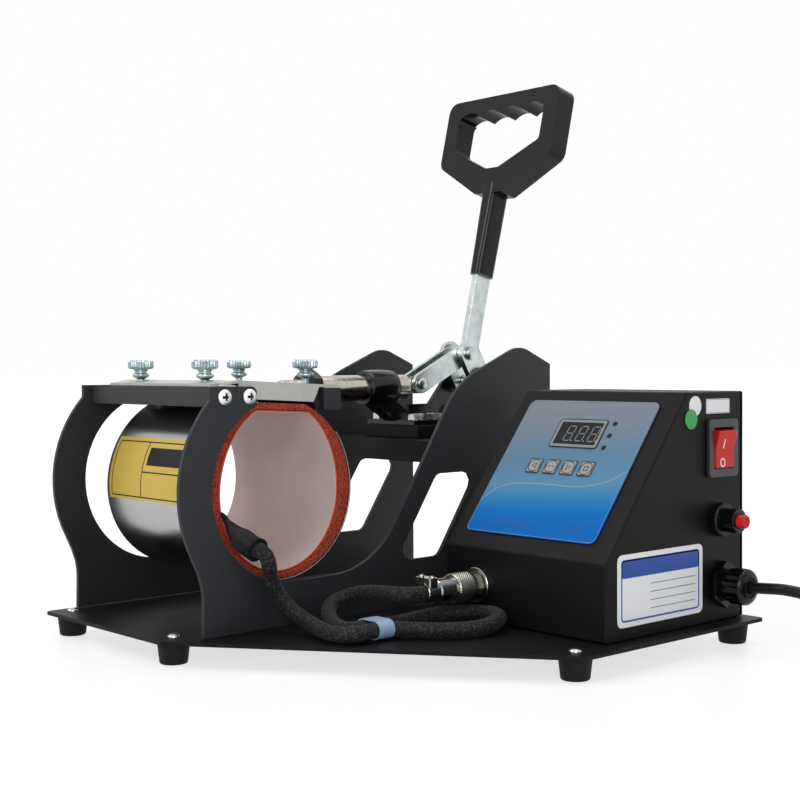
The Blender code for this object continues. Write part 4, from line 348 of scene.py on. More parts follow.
def laid_on(node):
    """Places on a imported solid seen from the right: y and z as given, x where its face is met, plus n."""
    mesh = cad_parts[node].data
    tree = BVHTree.FromPolygons([v.co for v in mesh.vertices], [tuple(p.vertices) for p in mesh.polygons])

    def place(y, z, n):
        starts = upright(400.0, y, z)
        hits = [tree.ray_cast(Vector(start), Vector((-1.0, 0.0, 0.0)))[0] for start in starts]
        if None in hits:
            raise RuntimeError("a mark lies past the edge of %s" % node)
        starts[:, 0] = np.array([hit.x for hit in hits]) + n * MM
        return starts
    return place


def round_edged(node, width, segments=2, angle=32.0):
    """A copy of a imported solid, its triangles merged into flat faces, with every edge rounded."""
    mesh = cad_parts[node].data.copy()
    mesh.name = node + "_finish"
    mesh.materials.clear()
    made = linked(mesh, merged, flattened)
    mesh.shade_smooth()
    edge = made.modifiers.new("edges", "BEVEL")
    edge.width = width * MM
    edge.segments = segments
    edge.limit_method = "ANGLE"
    edge.angle_limit = angle * DEG
    edge.use_clamp_overlap = True
    edge.harden_normals = False
    made.modifiers.new("even_shading", "WEIGHTED_NORMAL").keep_sharp = True
    return made


def dress(thing, made, body, nodes=(), slot=None):
    """Give a piece its finish and its body, and hide the solids that it stands for; its slot is not used."""
    thing.data.materials.clear()
    thing.data.materials.append(made)
    if body:
        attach(thing, body)
    if nodes:
        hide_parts(*nodes)
    return thing


def edged(node, width, made, body, slot, *bevel):
    """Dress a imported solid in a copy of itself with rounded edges."""
    return dress(round_edged(node, width, *bevel), made, body, [node], slot)


# Materials

def linear(code):
    """Linear red, green, blue and full alpha of an sRGB hex colour."""
    values = np.array([int(code[k:k + 2], 16) for k in (1, 3, 5)]) / 255.0
    return (*np.where(values <= 0.04045, values / 12.92, ((values + 0.055) / 1.055) ** 2.4), 1.0)


def scale_of(size):
    """The scale at which a pattern's unit is a size in millimetres."""
    return 1.0 / (size * MM)


def feed(tree, node, inputs):
    """Give each input of a node its value, or link it to the socket given for it."""
    for key, value in inputs.items():
        if isinstance(value, bpy.types.NodeSocket):
            tree.links.new(value, node.inputs[key])
        else:
            node.inputs[key].default_value = value


def add(tree, kind, inputs=None, stops=(), **settings):
    """One node of a kind with its settings, its inputs and its stops of colour; gives the node's outputs."""
    made = tree.nodes.new("ShaderNode" + kind)
    for key, value in settings.items():
        setattr(made, key, value)
    feed(tree, made, inputs or {})
    if stops:
        elements = made.color_ramp.elements
        for k in (0, -1):
            elements[k].position, elements[k].color = stops[k][0], linear(stops[k][1])
        for place, colour in stops[1:-1]:
            elements.new(place).color = linear(colour)
    return made.outputs


def principled(name, colour, roughness, metallic=0.0, **extra):
    """A material, its tree, its Principled shader and the coordinates that its patterns read."""
    made = bpy.data.materials.new(name)
    made.use_nodes = True
    tree = made.node_tree
    shader = tree.nodes["Principled BSDF"]
    extra.update(Base_Color=linear(colour), Roughness=roughness, Metallic=metallic)
    feed(tree, shader, {key.replace("_", " "): value for key, value in extra.items()})
    return made, tree, shader, add(tree, "TexCoord")


def shared(maker):
    """Makes a finish once for each set of values, for every piece that has it."""
    kept = {}

    def find(*values):
        if values not in kept:
            kept[values] = maker(*values)
        return kept[values]
    return find


@shared
def powder_coat(name="black_powder_coat", dark="#08080a", light="#101013", roughness=0.44, gloss_share=0.13):
    """Polyester powder baked on steel sheet: a satin black with a fine orange peel of about 0.7 mm."""
    made, tree, shader, spot = principled(name, dark, roughness, Specular_IOR_Level=gloss_share)
    peel = add(tree, "TexNoise", {"Vector": spot["Object"], "Scale": scale_of(0.7), "Detail": 3.0,
                                  "Roughness": 0.6})["Fac"]
    cloud = add(tree, "TexNoise", {"Vector": spot["Object"], "Scale": scale_of(35.0), "Detail": 2.0})["Fac"]
    spread = add(tree, "MapRange", {"Value": peel, "From Min": 0.3, "From Max": 0.7})["Result"]
    tint = add(tree, "Mix", {0: spread, 6: linear(dark), 7: linear(light)}, data_type="RGBA")[2]
    gloss = add(tree, "MapRange", {"Value": cloud, "To Min": roughness - 0.06, "To Max": roughness + 0.08})
    bump = add(tree, "Bump", {"Height": peel, "Strength": 0.35, "Distance": 0.06 * MM})
    feed(tree, shader, {"Base Color": tint, "Roughness": gloss["Result"], "Normal": bump["Normal"]})
    return made


@shared
def enamel():
    """Stoved enamel on a casting: glossy black that flows round edges, with slow waves of 6 mm."""
    made, tree, shader, spot = principled("black_enamel", "#070708", 0.2, Specular_IOR_Level=0.35)
    wave = add(tree, "TexNoise", {"Vector": spot["Object"], "Scale": scale_of(6.0), "Detail": 2.0})["Fac"]
    gloss = add(tree, "MapRange", {"Value": wave, "To Min": 0.14, "To Max": 0.28})
    bump = add(tree, "Bump", {"Height": wave, "Strength": 0.25, "Distance": 0.12 * MM})
    feed(tree, shader, {"Roughness": gloss["Result"], "Normal": bump["Normal"]})
    return made


@shared
def zinc_plate(name="zinc_plate", dark="#aab4b7", light="#cfd5d2", roughness=0.24):
    """Bright zinc on pressed steel: a cool white metal, clouded in patches of 8 mm and finely grained."""
    made, tree, shader, spot = principled(name, light, roughness, 1.0)
    cloud = add(tree, "TexNoise", {"Vector": spot["Object"], "Scale": scale_of(8.0), "Detail": 3.0})["Fac"]
    spread = add(tree, "MapRange", {"Value": cloud, "From Min": 0.3, "From Max": 0.7})["Result"]
    tint = add(tree, "Mix", {0: spread, 6: linear(dark), 7: linear(light)}, data_type="RGBA")[2]
    gloss = add(tree, "MapRange", {"Value": cloud, "To Min": roughness - 0.1, "To Max": roughness + 0.14})
    grain = add(tree, "TexNoise", {"Vector": spot["Object"], "Scale": scale_of(0.4), "Detail": 2.0})["Fac"]
    bump = add(tree, "Bump", {"Height": grain, "Strength": 0.2, "Distance": 0.02 * MM})
    feed(tree, shader, {"Base Color": tint, "Roughness": gloss["Result"], "Normal": bump["Normal"]})
    return made


@shared
def nickel_plate(name="nickel_plate", dark="#a29d90", light="#cbc7bb"):
    """Nickel on turned brass: a bright metal, a little warm, clouded over 3 mm."""
    made, tree, shader, spot = principled(name, light, 0.2, 1.0)
    cloud = add(tree, "TexNoise", {"Vector": spot["Object"], "Scale": scale_of(3.0), "Detail": 3.0})["Fac"]
    tint = add(tree, "Mix", {0: cloud, 6: linear(dark), 7: linear(light)}, data_type="RGBA")[2]
    gloss = add(tree, "MapRange", {"Value": cloud, "To Min": 0.1, "To Max": 0.3})
    feed(tree, shader, {"Base Color": tint, "Roughness": gloss["Result"]})
    return made


@shared
def polished_stainless():
    """Cold-rolled stainless strip: mirror-like across the roll, with fine lines along the heater."""
    made, tree, shader, spot = principled("polished_stainless", "#adadab", 0.22, 1.0)
    drawn = (scale_of(40.0), scale_of(0.35), scale_of(0.35))
    stretch = add(tree, "Mapping", {"Vector": spot["Object"], "Scale": drawn})["Vector"]
    lines = add(tree, "TexNoise", {"Vector": stretch, "Scale": 1.0, "Detail": 3.0})["Fac"]
    gloss = add(tree, "MapRange", {"Value": lines, "To Min": 0.14, "To Max": 0.3})
    bump = add(tree, "Bump", {"Height": lines, "Strength": 0.12, "Distance": 0.02 * MM})
    feed(tree, shader, {"Roughness": gloss["Result"], "Normal": bump["Normal"]})
    return made


@shared
def silicone_sponge():
    """Foamed silicone, cut: brick red, matt, with open cells of 0.4 to 1 mm whose pits are darkened as
    painted shade.
    """
    made, tree, shader, spot = principled("silicone_sponge", "#a63d26", 0.8, Specular_IOR_Level=0.3)
    cells = add(tree, "TexVoronoi", {"Vector": spot["Object"], "Scale": scale_of(1.25), "Randomness": 1.0})
    fine = add(tree, "TexNoise", {"Vector": spot["Object"], "Scale": scale_of(0.9), "Detail": 4.0,
                                  "Roughness": 0.7})["Fac"]
    pores = add(tree, "Math", {0: fine, 1: 0.62}, operation="SUBTRACT")[0]
    depth = add(tree, "Math", {0: cells["Distance"], 1: pores}, operation="SUBTRACT")[0]
    # Darker red where the cells sink: painted shade in the pits; the same depth drives the relief below
    tint = add(tree, "ValToRGB", {"Fac": depth}, ((0.3, "#451810"), (0.5, "#8e3321"), (0.8, "#a4422c")))
    bump = add(tree, "Bump", {"Height": depth, "Strength": 0.5, "Distance": 0.2 * MM})
    feed(tree, shader, {"Base Color": tint["Color"], "Normal": bump["Normal"]})
    return made


@shared
def heater_mat():
    """Solid silicone round the heating wires: smoother and brighter orange than the sponge."""
    made, tree, shader, spot = principled("heater_mat", "#d2471f", 0.5)
    fine = add(tree, "TexNoise", {"Vector": spot["Object"], "Scale": scale_of(0.6), "Detail": 3.0})["Fac"]
    tint = add(tree, "Mix", {0: fine, 6: linear("#a83518"), 7: linear("#e0592c")}, data_type="RGBA")[2]
    feed(tree, shader, {"Base Color": tint})
    return made


@shared
def coated_cloth():
    """Glass cloth under a thin grey-pink release coat: matt, with a diagonal weave of 1.5 mm just showing."""
    made, tree, shader, spot = principled("coated_cloth", "#d6c5c1", 0.6, Specular_IOR_Level=0.3)
    turn = add(tree, "Mapping", {"Vector": spot["UV"], "Rotation": (0.0, 0.0, 45.0 * DEG),
                                 "Scale": (scale_of(1.0), scale_of(1.0), scale_of(1.0))})["Vector"]
    weave = add(tree, "TexChecker", {"Vector": turn, "Scale": 1.3})["Fac"]
    cloud = add(tree, "TexNoise", {"Vector": spot["Object"], "Scale": scale_of(24.0), "Detail": 2.0})["Fac"]
    tint = add(tree, "Mix", {0: cloud, 6: linear("#c4afab"), 7: linear("#d8c6c2")}, data_type="RGBA")[2]
    bump = add(tree, "Bump", {"Height": weave, "Strength": 0.12, "Distance": 0.05 * MM})
    feed(tree, shader, {"Base Color": tint, "Normal": bump["Normal"]})
    return made


@shared
def moulded_rubber(name="black_rubber", colour="#0c0c0d", roughness=0.6):
    """Moulded rubber: a dull black with a slight skin texture of 1 mm."""
    made, tree, shader, spot = principled(name, colour, roughness, Specular_IOR_Level=0.2)
    skin = add(tree, "TexNoise", {"Vector": spot["Object"], "Scale": scale_of(1.4), "Detail": 4.0,
                                  "Roughness": 0.6})["Fac"]
    gloss = add(tree, "MapRange", {"Value": skin, "To Min": roughness - 0.1, "To Max": roughness + 0.1})
    bump = add(tree, "Bump", {"Height": skin, "Strength": 0.25, "Distance": 0.1 * MM})
    feed(tree, shader, {"Roughness": gloss["Result"], "Normal": bump["Normal"]})
    return made


@shared
def moulded_nylon(name="moulded_plastic", colour="#070708", roughness=0.28):
    """Injection-moulded nylon: softly glossy black, the gloss a little uneven over some 25 mm."""
    made, tree, shader, spot = principled(name, colour, roughness, Specular_IOR_Level=0.1, Coat_Weight=0.3,
                                          Coat_Roughness=0.12)
    cloud = add(tree, "TexNoise", {"Vector": spot["Object"], "Scale": scale_of(25.0), "Detail": 2.0})["Fac"]
    gloss = add(tree, "MapRange", {"Value": cloud, "To Min": roughness - 0.06, "To Max": roughness + 0.08})
    bump = add(tree, "Bump", {"Height": cloud, "Strength": 0.06, "Distance": 0.3 * MM})
    feed(tree, shader, {"Roughness": gloss["Result"], "Normal": bump["Normal"]})
    return made


@shared
def braided_sleeve():
    """Plaited polyester sleeving over a cable: near-black threads 0.5 mm wide on the slant, some grey."""
    made, tree, shader, spot = principled("braided_sleeve", "#1a1a1c", 0.7, Sheen_Weight=0.04,
                                          Specular_IOR_Level=0.2)
    girth = 25.8
    grid = add(tree, "Mapping", {"Vector": spot["UV"], "Scale": (scale_of(1.0), girth, 1.0),
                                 "Rotation": (0.0, 0.0, 45.0 * DEG)})["Vector"]
    threads = add(tree, "TexVoronoi", {"Vector": grid, "Scale": 2.0, "Randomness": 0.45}, feature="F1",
                  distance="CHEBYCHEV")
    fleck = add(tree, "ValToRGB", {"Fac": threads["Color"]}, ((0.58, "#0a0a0b"), (0.95, "#46464a")))
    bump = add(tree, "Bump", {"Height": threads["Distance"], "Strength": 0.5, "Distance": 0.2 * MM})
    feed(tree, shader, {"Base Color": fleck["Color"], "Normal": bump["Normal"]})
    return made


@shared
def printed_film():
    """Polyester overlay, printed behind: a matt skin that fades from grey through pale to strong blue."""
    made, tree, shader, spot = principled("printed_film", "#6c94b4", 0.42, Specular_IOR_Level=0.1)
    low, high = (Vector(on_slope(0.0, s, 0.0)) for s in (10.0, 99.0))
    run = high - low
    centred = add(tree, "Mapping", {"Vector": spot["Object"], "Location": tuple(-low)})["Vector"]
    rise = add(tree, "VectorMath", {0: centred, 1: tuple(run / run.length_squared)},
               operation="DOT_PRODUCT")["Value"]
    across = add(tree, "SeparateXYZ", {0: centred})["X"]
    lean = add(tree, "Math", {0: across, 1: 0.9}, operation="MULTIPLY")[0]
    height = add(tree, "Math", {0: rise, 1: lean}, operation="SUBTRACT")[0]
    fade = add(tree, "ValToRGB", {"Fac": height}, (
        (0.0, "#005fae"), (0.1, "#0268b2"), (0.19, "#2a78ac"), (0.3, "#5283a6"), (0.5, "#5a7b95"),
        (0.7, "#6d7e8c"), (0.88, "#7b8189")))
    grain = add(tree, "TexNoise", {"Vector": spot["Object"], "Scale": scale_of(0.5), "Detail": 2.0})["Fac"]
    bump = add(tree, "Bump", {"Height": grain, "Strength": 0.12, "Distance": 0.02 * MM})
    feed(tree, shader, {"Base Color": fade["Color"], "Normal": bump["Normal"]})
    return made


@shared
def grey_sheet():
    """Zinc-coated sheet left dull: light warm grey with a faint spangle of 3 mm."""
    made, tree, shader, spot = principled("grey_zinc_sheet", "#bdbdb7", 0.5, 0.3)
    spangle = add(tree, "TexNoise", {"Vector": spot["Object"], "Scale": scale_of(6.0), "Detail": 4.0})["Fac"]
    tint = add(tree, "Mix", {0: spangle, 6: linear("#b2b2ac"), 7: linear("#c6c6c0")}, data_type="RGBA")[2]
    grain = add(tree, "TexNoise", {"Vector": spot["Object"], "Scale": scale_of(0.5), "Detail": 2.0})["Fac"]
    bump = add(tree, "Bump", {"Height": grain, "Strength": 0.1, "Distance": 0.02 * MM})
    feed(tree, shader, {"Base Color": tint, "Normal": bump["Normal"]})
    return made


@shared
def circuit_board():
    """Solder mask on glass board: glossy green with fine tracks about 1 mm apart."""
    made, tree, shader, spot = principled("circuit_board", "#1c5a30", 0.3)
    tracks = add(tree, "TexBrick", {
        "Vector": spot["Object"], "Scale": scale_of(4.0), "Mortar Size": 0.05, "Color1": linear("#1c5a30"),
        "Color2": linear("#246b3a"), "Mortar": linear("#8ea24a")})["Color"]
    feed(tree, shader, {"Base Color": tracks})
    return made


# Prints, films and moulded trims: colour, roughness, grain in millimetres, metal, drift and gloss share
PRINTS = {
    # Coated label paper: bright, faintly soft in gloss
    "label_paper": ("#e6e8ea", 0.42, 4.0, 0.0, 0.08, 0.5),
    # A round sticker of coloured paper: an even, matt green
    "green_paper": ("#2f9a4c", 0.45, 1.5, 0.0, 0.08, 0.5),
    # Metallised label film: a brushed pale gold with a satin face
    "gold_film": ("#c4a844", 0.36, 2.0, 0.25, 0.08, 0.5),
    # Embossed and printed polyester of the keys, and of the display's rim: a satin warm grey, a cool grey
    "key_film": ("#8f918c", 0.4, 1.2, 0.0, 0.08, 0.5),
    "rim_film": ("#777d81", 0.4, 2.0, 0.0, 0.08, 0.5),
    # Screen ink, a little raised and flat in gloss: black, a warm pale grey, two blues and a cool grey that
    # paints a highlight along the overlay's edge
    "black_ink": ("#0b0c0f", 0.5, 0.8, 0.0, 0.08, 0.2),
    "pale_ink": ("#8e9799", 0.45, 0.8, 0.0, 0.08, 0.5),
    "blue_ink": ("#12489a", 0.42, 0.8, 0.0, 0.08, 0.5),
    "dark_blue_ink": ("#16395c", 0.45, 0.8, 0.0, 0.08, 0.5),
    # The cool grey: a painted highlight along the overlay's edge
    "edge_ink": ("#6c8290", 0.45, 0.8, 0.0, 0.08, 0.5),
    "grey_ink": ("#6e7278", 0.45, 0.8, 0.0, 0.08, 0.5),
    # Tinted cast acrylic over the display: near black and glossy
    "smoked_acrylic": ("#0d0f12", 0.16, 8.0, 0.0, 0.03, 0.2),
    # Moulded segments of the display, unlit: pale grey behind the tinted window
    "unlit_segment": ("#6c7074", 0.4, 1.0, 0.0, 0.08, 0.5),
    # Moulded polycarbonate of the rocker, tinted: a clear deep red with a glossy face
    "red_polycarbonate": ("#c4120d", 0.2, 6.0, 0.0, 0.08, 0.25),
    # Moulded plastic of the rocker's bezel: a dark grey, duller than the rocker
    "bezel_plastic": ("#2b2d30", 0.4, 1.0, 0.0, 0.08, 0.5),
    # Moulded nylon of the reset button: an opaque red, softly glossy
    "red_nylon": ("#c4120e", 0.35, 3.0, 0.0, 0.08, 0.25),
    # Flat plastic band of the lead's tie: a pale, matt blue
    "pale_blue_tape": ("#8ea6c0", 0.5, 1.5, 0.0, 0.08, 0.5),
}


@shared
def printed(name):
    """A print, film or moulded trim: one colour whose gloss and relief drift a little over its grain."""
    colour, roughness, grain, metallic, drift, gloss_share = PRINTS[name]
    made, tree, shader, spot = principled(name, colour, roughness, metallic, Specular_IOR_Level=gloss_share)
    cloud = add(tree, "TexNoise", {"Vector": spot["Object"], "Scale": scale_of(grain), "Detail": 3.0})["Fac"]
    gloss = add(tree, "MapRange", {"Value": cloud, "To Min": roughness - drift, "To Max": roughness + drift})
    bump = add(tree, "Bump", {"Height": cloud, "Strength": 0.08, "Distance": 0.03 * MM})
    feed(tree, shader, {"Roughness": gloss["Result"], "Normal": bump["Normal"]})
    return made


def length_property(name, description, size):
    """A length, given in millimetres, that a user may change."""
    return FloatProperty(name=name, description=description, default=size * MM, unit="LENGTH",
                         subtype="DISTANCE")


class HeatPressLooks(bpy.types.PropertyGroup):
    """The sizes and colours that a user would change."""
    edge: length_property("Sheet edge", "Rounding of the coated sheets' edges", 0.45)
    knurls: IntProperty(name="Knurls", description="Grooves round a thumb screw's head", default=22, min=8)
    knurl_depth: length_property("Knurl depth", "Depth of a thumb screw's grooves", 0.7)
    thread_pitch: length_property("Thread pitch", "Pitch of the plunger rod's thread", 1.5)
    lead_radius: length_property("Lead radius", "Radius of the heater's braided lead", 4.1)
    cord_radius: length_property("Cord radius", "Radius of the power cord", 3.0)
    world_light: FloatProperty(name="Room light", description="Strength of the soft light from all round",
                               default=0.35)
    floor_colour: FloatVectorProperty(name="Floor", description="Colour of the plain floor", subtype="COLOR",
                                      default=linear("#f2f2f3")[:3])


class HEATPRESS_OT_stage(bpy.types.Operator):
    """A pale floor, soft light all round, three large lamps and the photograph's camera."""
    bl_idname = "heatpress.stage"
    bl_label = "Stage"

    def execute(self, context):
        scene, white = context.scene, (1.0, 1.0, 1.0, 1.0)
        self.room(scene, white)
        self.floor(scene.heat_press.floor_colour, white)
        self.lamps(scene)
        self.camera(scene)
        scene.view_settings.view_transform = "Standard"
        return {"FINISHED"}

    def sight(self, tree):
        """One for a ray from the camera, off a gloss or through a clear piece, else nothing."""
        rays = add(tree, "LightPath")
        seen = rays["Is Camera Ray"]
        for kind in ("Is Glossy Ray", "Is Transmission Ray"):
            seen = add(tree, "Math", {0: seen, 1: rays[kind]}, operation="MAXIMUM")[0]
        return seen

    def room(self, scene, white):
        """The world: a soft light on the press, and plain white where it is seen."""
        world = bpy.data.worlds.new("soft_room")
        world.use_nodes = True
        tree = world.node_tree
        tree.nodes.clear()
        light, clear = (add(tree, "Background", {"Color": white, "Strength": strength})[0]
                        for strength in (scene.heat_press.world_light, 1.0))
        both = add(tree, "MixShader", {0: self.sight(tree), 1: light, 2: clear})[0]
        add(tree, "OutputWorld", {0: both}, is_active_output=True)
        scene.world = world

    def floor(self, colour, white):
        """A wide pale floor that keeps the press's shadow and, where it is seen, fades to white far off."""
        half = 30.0
        floor = surface("floor", np.array([[(x, y, 0.0) for y in (-half, half)] for x in (-half, half)]),
                        (False, False))
        made, tree, shader, spot = principled("pale_floor", "#f2f2f3", 0.35)
        feed(tree, shader, {"Base Color": (*colour, 1.0)})
        glow = add(tree, "Emission", {"Color": white, "Strength": 1.2})[0]
        reach = add(tree, "VectorMath", {0: spot["Object"]}, operation="LENGTH")["Value"]
        fade = add(tree, "MapRange", {"Value": reach, "From Min": 0.3, "From Max": 1.0, "To Min": 0.58,
                                      "To Max": 1.0})["Result"]
        share = add(tree, "Math", {0: fade, 1: self.sight(tree)}, operation="MULTIPLY")[0]
        both = add(tree, "MixShader", {0: share, 1: shader.outputs[0], 2: glow})[0]
        feed(tree, tree.nodes["Material Output"], {"Surface": both})
        floor.data.materials.append(made)

    def lamps(self, scene):
        """Three large lamps in metres and watts, turned to the middle of the press."""
        target = Vector(upright(0.0, 120.0, 80.0))
        for name, place, width, power in (("key_lamp", (-0.55, -1.15, 1.25), 0.8, 11.0),
                                          ("side_lamp", (1.15, -0.95, 0.55), 0.8, 9.0),
                                          ("top_lamp", (0.1, 0.35, 1.7), 1.2, 9.0)):
            data = bpy.data.lights.new(name, "AREA")
            data.size, data.energy = width, power
            lamp = bpy.data.objects.new(name, data)
            lamp.location = place
            lamp.rotation_euler = (target - Vector(place)).to_track_quat("-Z", "Y").to_euler()
            scene.collection.objects.link(lamp)

    def camera(self, scene):
        """The photograph's camera: turned by yaw and pitch, then rolled about its own line of sight."""
        data = bpy.data.cameras.new("photograph")
        data.sensor_width = SENSOR_WIDTH_MM
        data.lens = CAMERA_FOCAL_PX / PICTURE_PX * SENSOR_WIDTH_MM
        data.clip_start = 0.01
        camera = bpy.data.objects.new("photograph", data)
        cy, sy, cp, sp = (f(a) for a in (CAMERA_YAW, CAMERA_PITCH) for f in (math.cos, math.sin))
        forward, level = np.array((-sy * cp, cy * cp, -sp)), np.array((cy, sy, 0.0))
        right = math.cos(CAMERA_ROLL) * level + math.sin(CAMERA_ROLL) * np.cross(level, forward)
        matrix = np.eye(4)
        matrix[:3] = np.stack((right, np.cross(right, forward), -forward, upright(*CAMERA_PLACE)), axis=1)
        camera.matrix_world = Matrix(matrix.tolist())
        scene.collection.objects.link(camera)
        scene.camera = camera


class HEATPRESS_OT_lead(bpy.types.Operator):
    """The heater's lead: rubber boot, braided sleeve, tie, and the round connector with its socket."""
    bl_idname = "heatpress.lead"
    bl_label = "Heater lead"

    def execute(self, context):
        looks = context.scene.heat_press
        path, _ = route_curve(BOOT_ROUTE, 0.6)
        s = np.linspace(0.0, 1.0, len(path))
        radius = np.interp(s, (0.0, 0.08, 0.25, 0.5, 0.75, 1.0), (1.4, 3.2, 4.6, 6.0, 6.3, 6.3))
        flat = np.interp(s, (0.0, 0.2, 0.55, 1.0), (0.35, 0.45, 0.95, 1.0))

        def crease(along, t):
            """Soft folds round the boot."""
            return 0.35 * np.sin(along / 2.6) * np.cos(t * 2.0 + along / 7.0)

        def plait(along, t):
            """Crossing threads: a product of two waves that wind opposite ways round the lead."""
            turn = along / 5.4 * TURN
            return 0.14 * np.sin(10 * t + turn) * np.sin(10 * t - turn)

        dress(swept("lead_boot_sleeve", path, radius, 48, crease, flat),
              moulded_rubber("boot_rubber", "#161618", 0.5), "root", ["lead_boot"], "black_rubber")
        path, length = route_curve(LEAD_ROUTE, 0.5)
        lead = swept("heater_lead_braid", path, looks.lead_radius / MM - 0.16, 60, plait)
        dress(lead, braided_sleeve(), "root", ["heater_lead"], "grey_braid")
        tie = dress(self.tie(), printed("pale_blue_tape"), "root", ["lead_tie"], "pale_blue_tie")
        path = path * MM + DATUM
        tuple(path[0])
        [tuple(p) for p in path]
        self.connector()
        return {"FINISHED"}

    def tie(self):
        """The tie: two half circles round the lead's two passes, joined straight, as a band 10 mm wide."""
        left, right = np.array(((53.3, 5.6), (62.4, 5.6)))
        t = np.linspace(-0.5, 0.5, 24) * math.pi
        arc = np.stack((np.cos(t), np.sin(t)), axis=1)
        inner, outer = (np.concatenate((right + reach * arc, left - reach * arc)) for reach in (4.3, 4.8))
        rows = [upright(line[:, 0], 64.6 + y, line[:, 1])
                for line, y in ((inner, -5.0), (outer, -5.0), (outer, 5.0), (inner, 5.0))]
        return surface("lead_tie_band", np.array(rows), sharp=40.0)

    def connector(self):
        """The plug with its cord clamp, the knurled ring and the socket, turned round one axis along Y."""
        nickel = nickel_plate("connector_nickel", "#85837c", "#bcbab1")
        place, axis = (60.0, 0.0, 20.0), (0, 1, 0)
        profile = ((4.25, 95.1), (5.3, 95.1), (5.6, 95.4), (5.6, 103.6), (6.3, 104.2), (6.3, 118.8),
                   (6.8, 119.2), (6.8, 120.8), (6.3, 121.2), (6.3, 122.7), (5.2, 123.2), (5.2, 130.7),
                   (4.9, 131.0), (0.0, 131.0), (0.0, 101.0), (4.25, 101.0))
        dress(turned("connector_plug_body", profile, place, axis, ring=True), nickel, "root",
              ["connector_plug"], "nickel_plate")
        dress(prisms("connector_saddle", [rounded((60.0, 98.2), (5.6, 3.0), 0.8)], 23.0, 28.0, upright),
              nickel, "root")
        head = ((0.0, 29.2), (0.9, 29.1), (1.5, 28.7), (1.6, 28.0), (1.6, 27.0), (0.0, 27.0))
        for name, x in (("connector_screw_1", 56.0), ("connector_screw_2", 64.0)):
            dress(turned(name, head, (x, 98.1, 0.0), steps=40), nickel, "root")
        grip = [(8.2, y) for y in np.linspace(116.2, 126.6, 40)]
        profile = [(6.4, 115.5), (7.4, 115.5), (7.9, 115.9), *grip, (7.7, 127.3), (7.7, 132.9), (7.4, 133.3),
                   (6.8, 133.3), (6.8, 117.9), (6.4, 117.9)]
        cut = knurled(36, 0.35, 1.6, 116.1, 126.7)
        dress(turned("connector_ring_knurled", profile, place, axis, 216, cut, True, 60.0), nickel,
              "connector_ring", ["connector_ring"], "nickel_plate")
        profile = ((5.65, 123.8), (6.4, 123.8), (6.65, 124.1), (6.65, 133.7), (9.2, 133.7), (9.5, 134.0),
                   (9.5, 135.7), (5.2, 135.7), (5.2, 146.0), (0.0, 146.0), (0.0, 131.3), (5.65, 131.3))
        dress(turned("connector_socket_body", profile, place, axis, ring=True), nickel, "root",
              ["connector_socket"], "nickel_plate")


def coil_line(steps):
    """The coil: radius falls by one pitch a turn, climbs a layer in half a turn, and grows again above."""
    half = steps // 2
    count = half * COIL_HALF_TURNS
    k = np.arange(count * 2 + half + 1)
    angle = COIL_START_ANGLE - TURN / steps * k
    inner = COIL_RADIUS - COIL_PITCH * COIL_HALF_TURNS * 0.5
    climb = np.clip((k - count) / half, 0.0, 1.0)
    radius = np.where(k < count, COIL_RADIUS - COIL_PITCH * k / steps,
                      np.where(k <= count + half, inner - COIL_CLIMB_INSET * np.sin(math.pi * climb),
                               inner + COIL_PITCH * (k - count - half) / steps))
    z = COIL_LOW_Z + COIL_PITCH * climb ** 2 * (3.0 - 2.0 * climb)
    return np.stack((COIL_X + radius * np.cos(angle), COIL_Y + radius * np.sin(angle), z), axis=1)


class HEATPRESS_OT_cord(bpy.types.Operator):
    """The power cord: gland, free stretch, coil for storage with its tie, and the mains plug."""
    bl_idname = "heatpress.cord"
    bl_label = "Power cord"

    def execute(self, context):
        looks = context.scene.heat_press
        coil = coil_line(24)
        lead_in, tail = (end + (end - after) / np.linalg.norm(end - after) * 6.0
                         for end, after in ((coil[0], coil[1]), (coil[-1], coil[-2])))
        line, length = route_curve(np.vstack((CORD_ROUTE, lead_in, coil, tail)), 1.5)
        cord = swept("power_cord_jacket", line, looks.cord_radius / MM, 24)
        dress(cord, moulded_rubber("cord_jacket", "#0e0e0f", 0.32), "root", ["power_cord", "power_cord_coil"],
              "black_rubber")
        tie = edged("coil_tie", 0.2, moulded_rubber(), "root", "black_rubber", 2, 40.0)
        plug = edged("mains_plug", 0.5, moulded_rubber(), "root", "black_rubber")
        self.gland()
        line = line * MM + DATUM
        tuple(line[0])
        [tuple(p) for p in line]
        return {"FINISHED"}

    def gland(self):
        """The gland: a six-sided body with its thread behind the wall, a ribbed dome nut and a soft seal."""
        nylon, spot, bore, flat = moulded_nylon(), ((BOX_RIGHT, 232.0, 20.0), (1, 0, 0)), 3.2, 11.0
        low, high, seal = 5.05, 19.2, 5.6
        profile = ((bore, 0.1), (flat * 0.97, 0.1), (flat, 0.1), (flat, 5.0), (flat * 0.9, 5.0), (bore, 5.0))
        dress(turned("gland_body", profile, *spot, 96, hexagonal(flat), True), nylon, "root", ["cable_gland"],
              "black_plastic")
        profile = ((bore, -6.6), (7.0, -6.6), (7.0, 0.1), (bore, 0.1))
        dress(turned("gland_thread", profile, *spot, 72, ring=True), nylon, "root")
        rows = [(9.7, h) for h in np.linspace(8.2, 16.0, 9)]
        dome = [(9.7 - 3.6 * (1 - math.cos(a)), 16.0 + 3.0 * math.sin(a)) for a in np.linspace(0.15, 1.45, 8)]
        profile = [(seal, low), (8.6, low), (8.6, 7.4), *rows, *dome, (seal, high)]
        dress(turned("gland_dome", profile, *spot, 144, fluted(12, 0.8, 7.8, 16.5), True), nylon, "root")
        profile = eased(((3.1, low), (5.5, low), (5.5, high - 0.3), (3.1, high - 0.6)), 0.4, 3, True)
        dress(turned("gland_seal", profile, *spot, 64, ring=True), moulded_rubber(), "root")


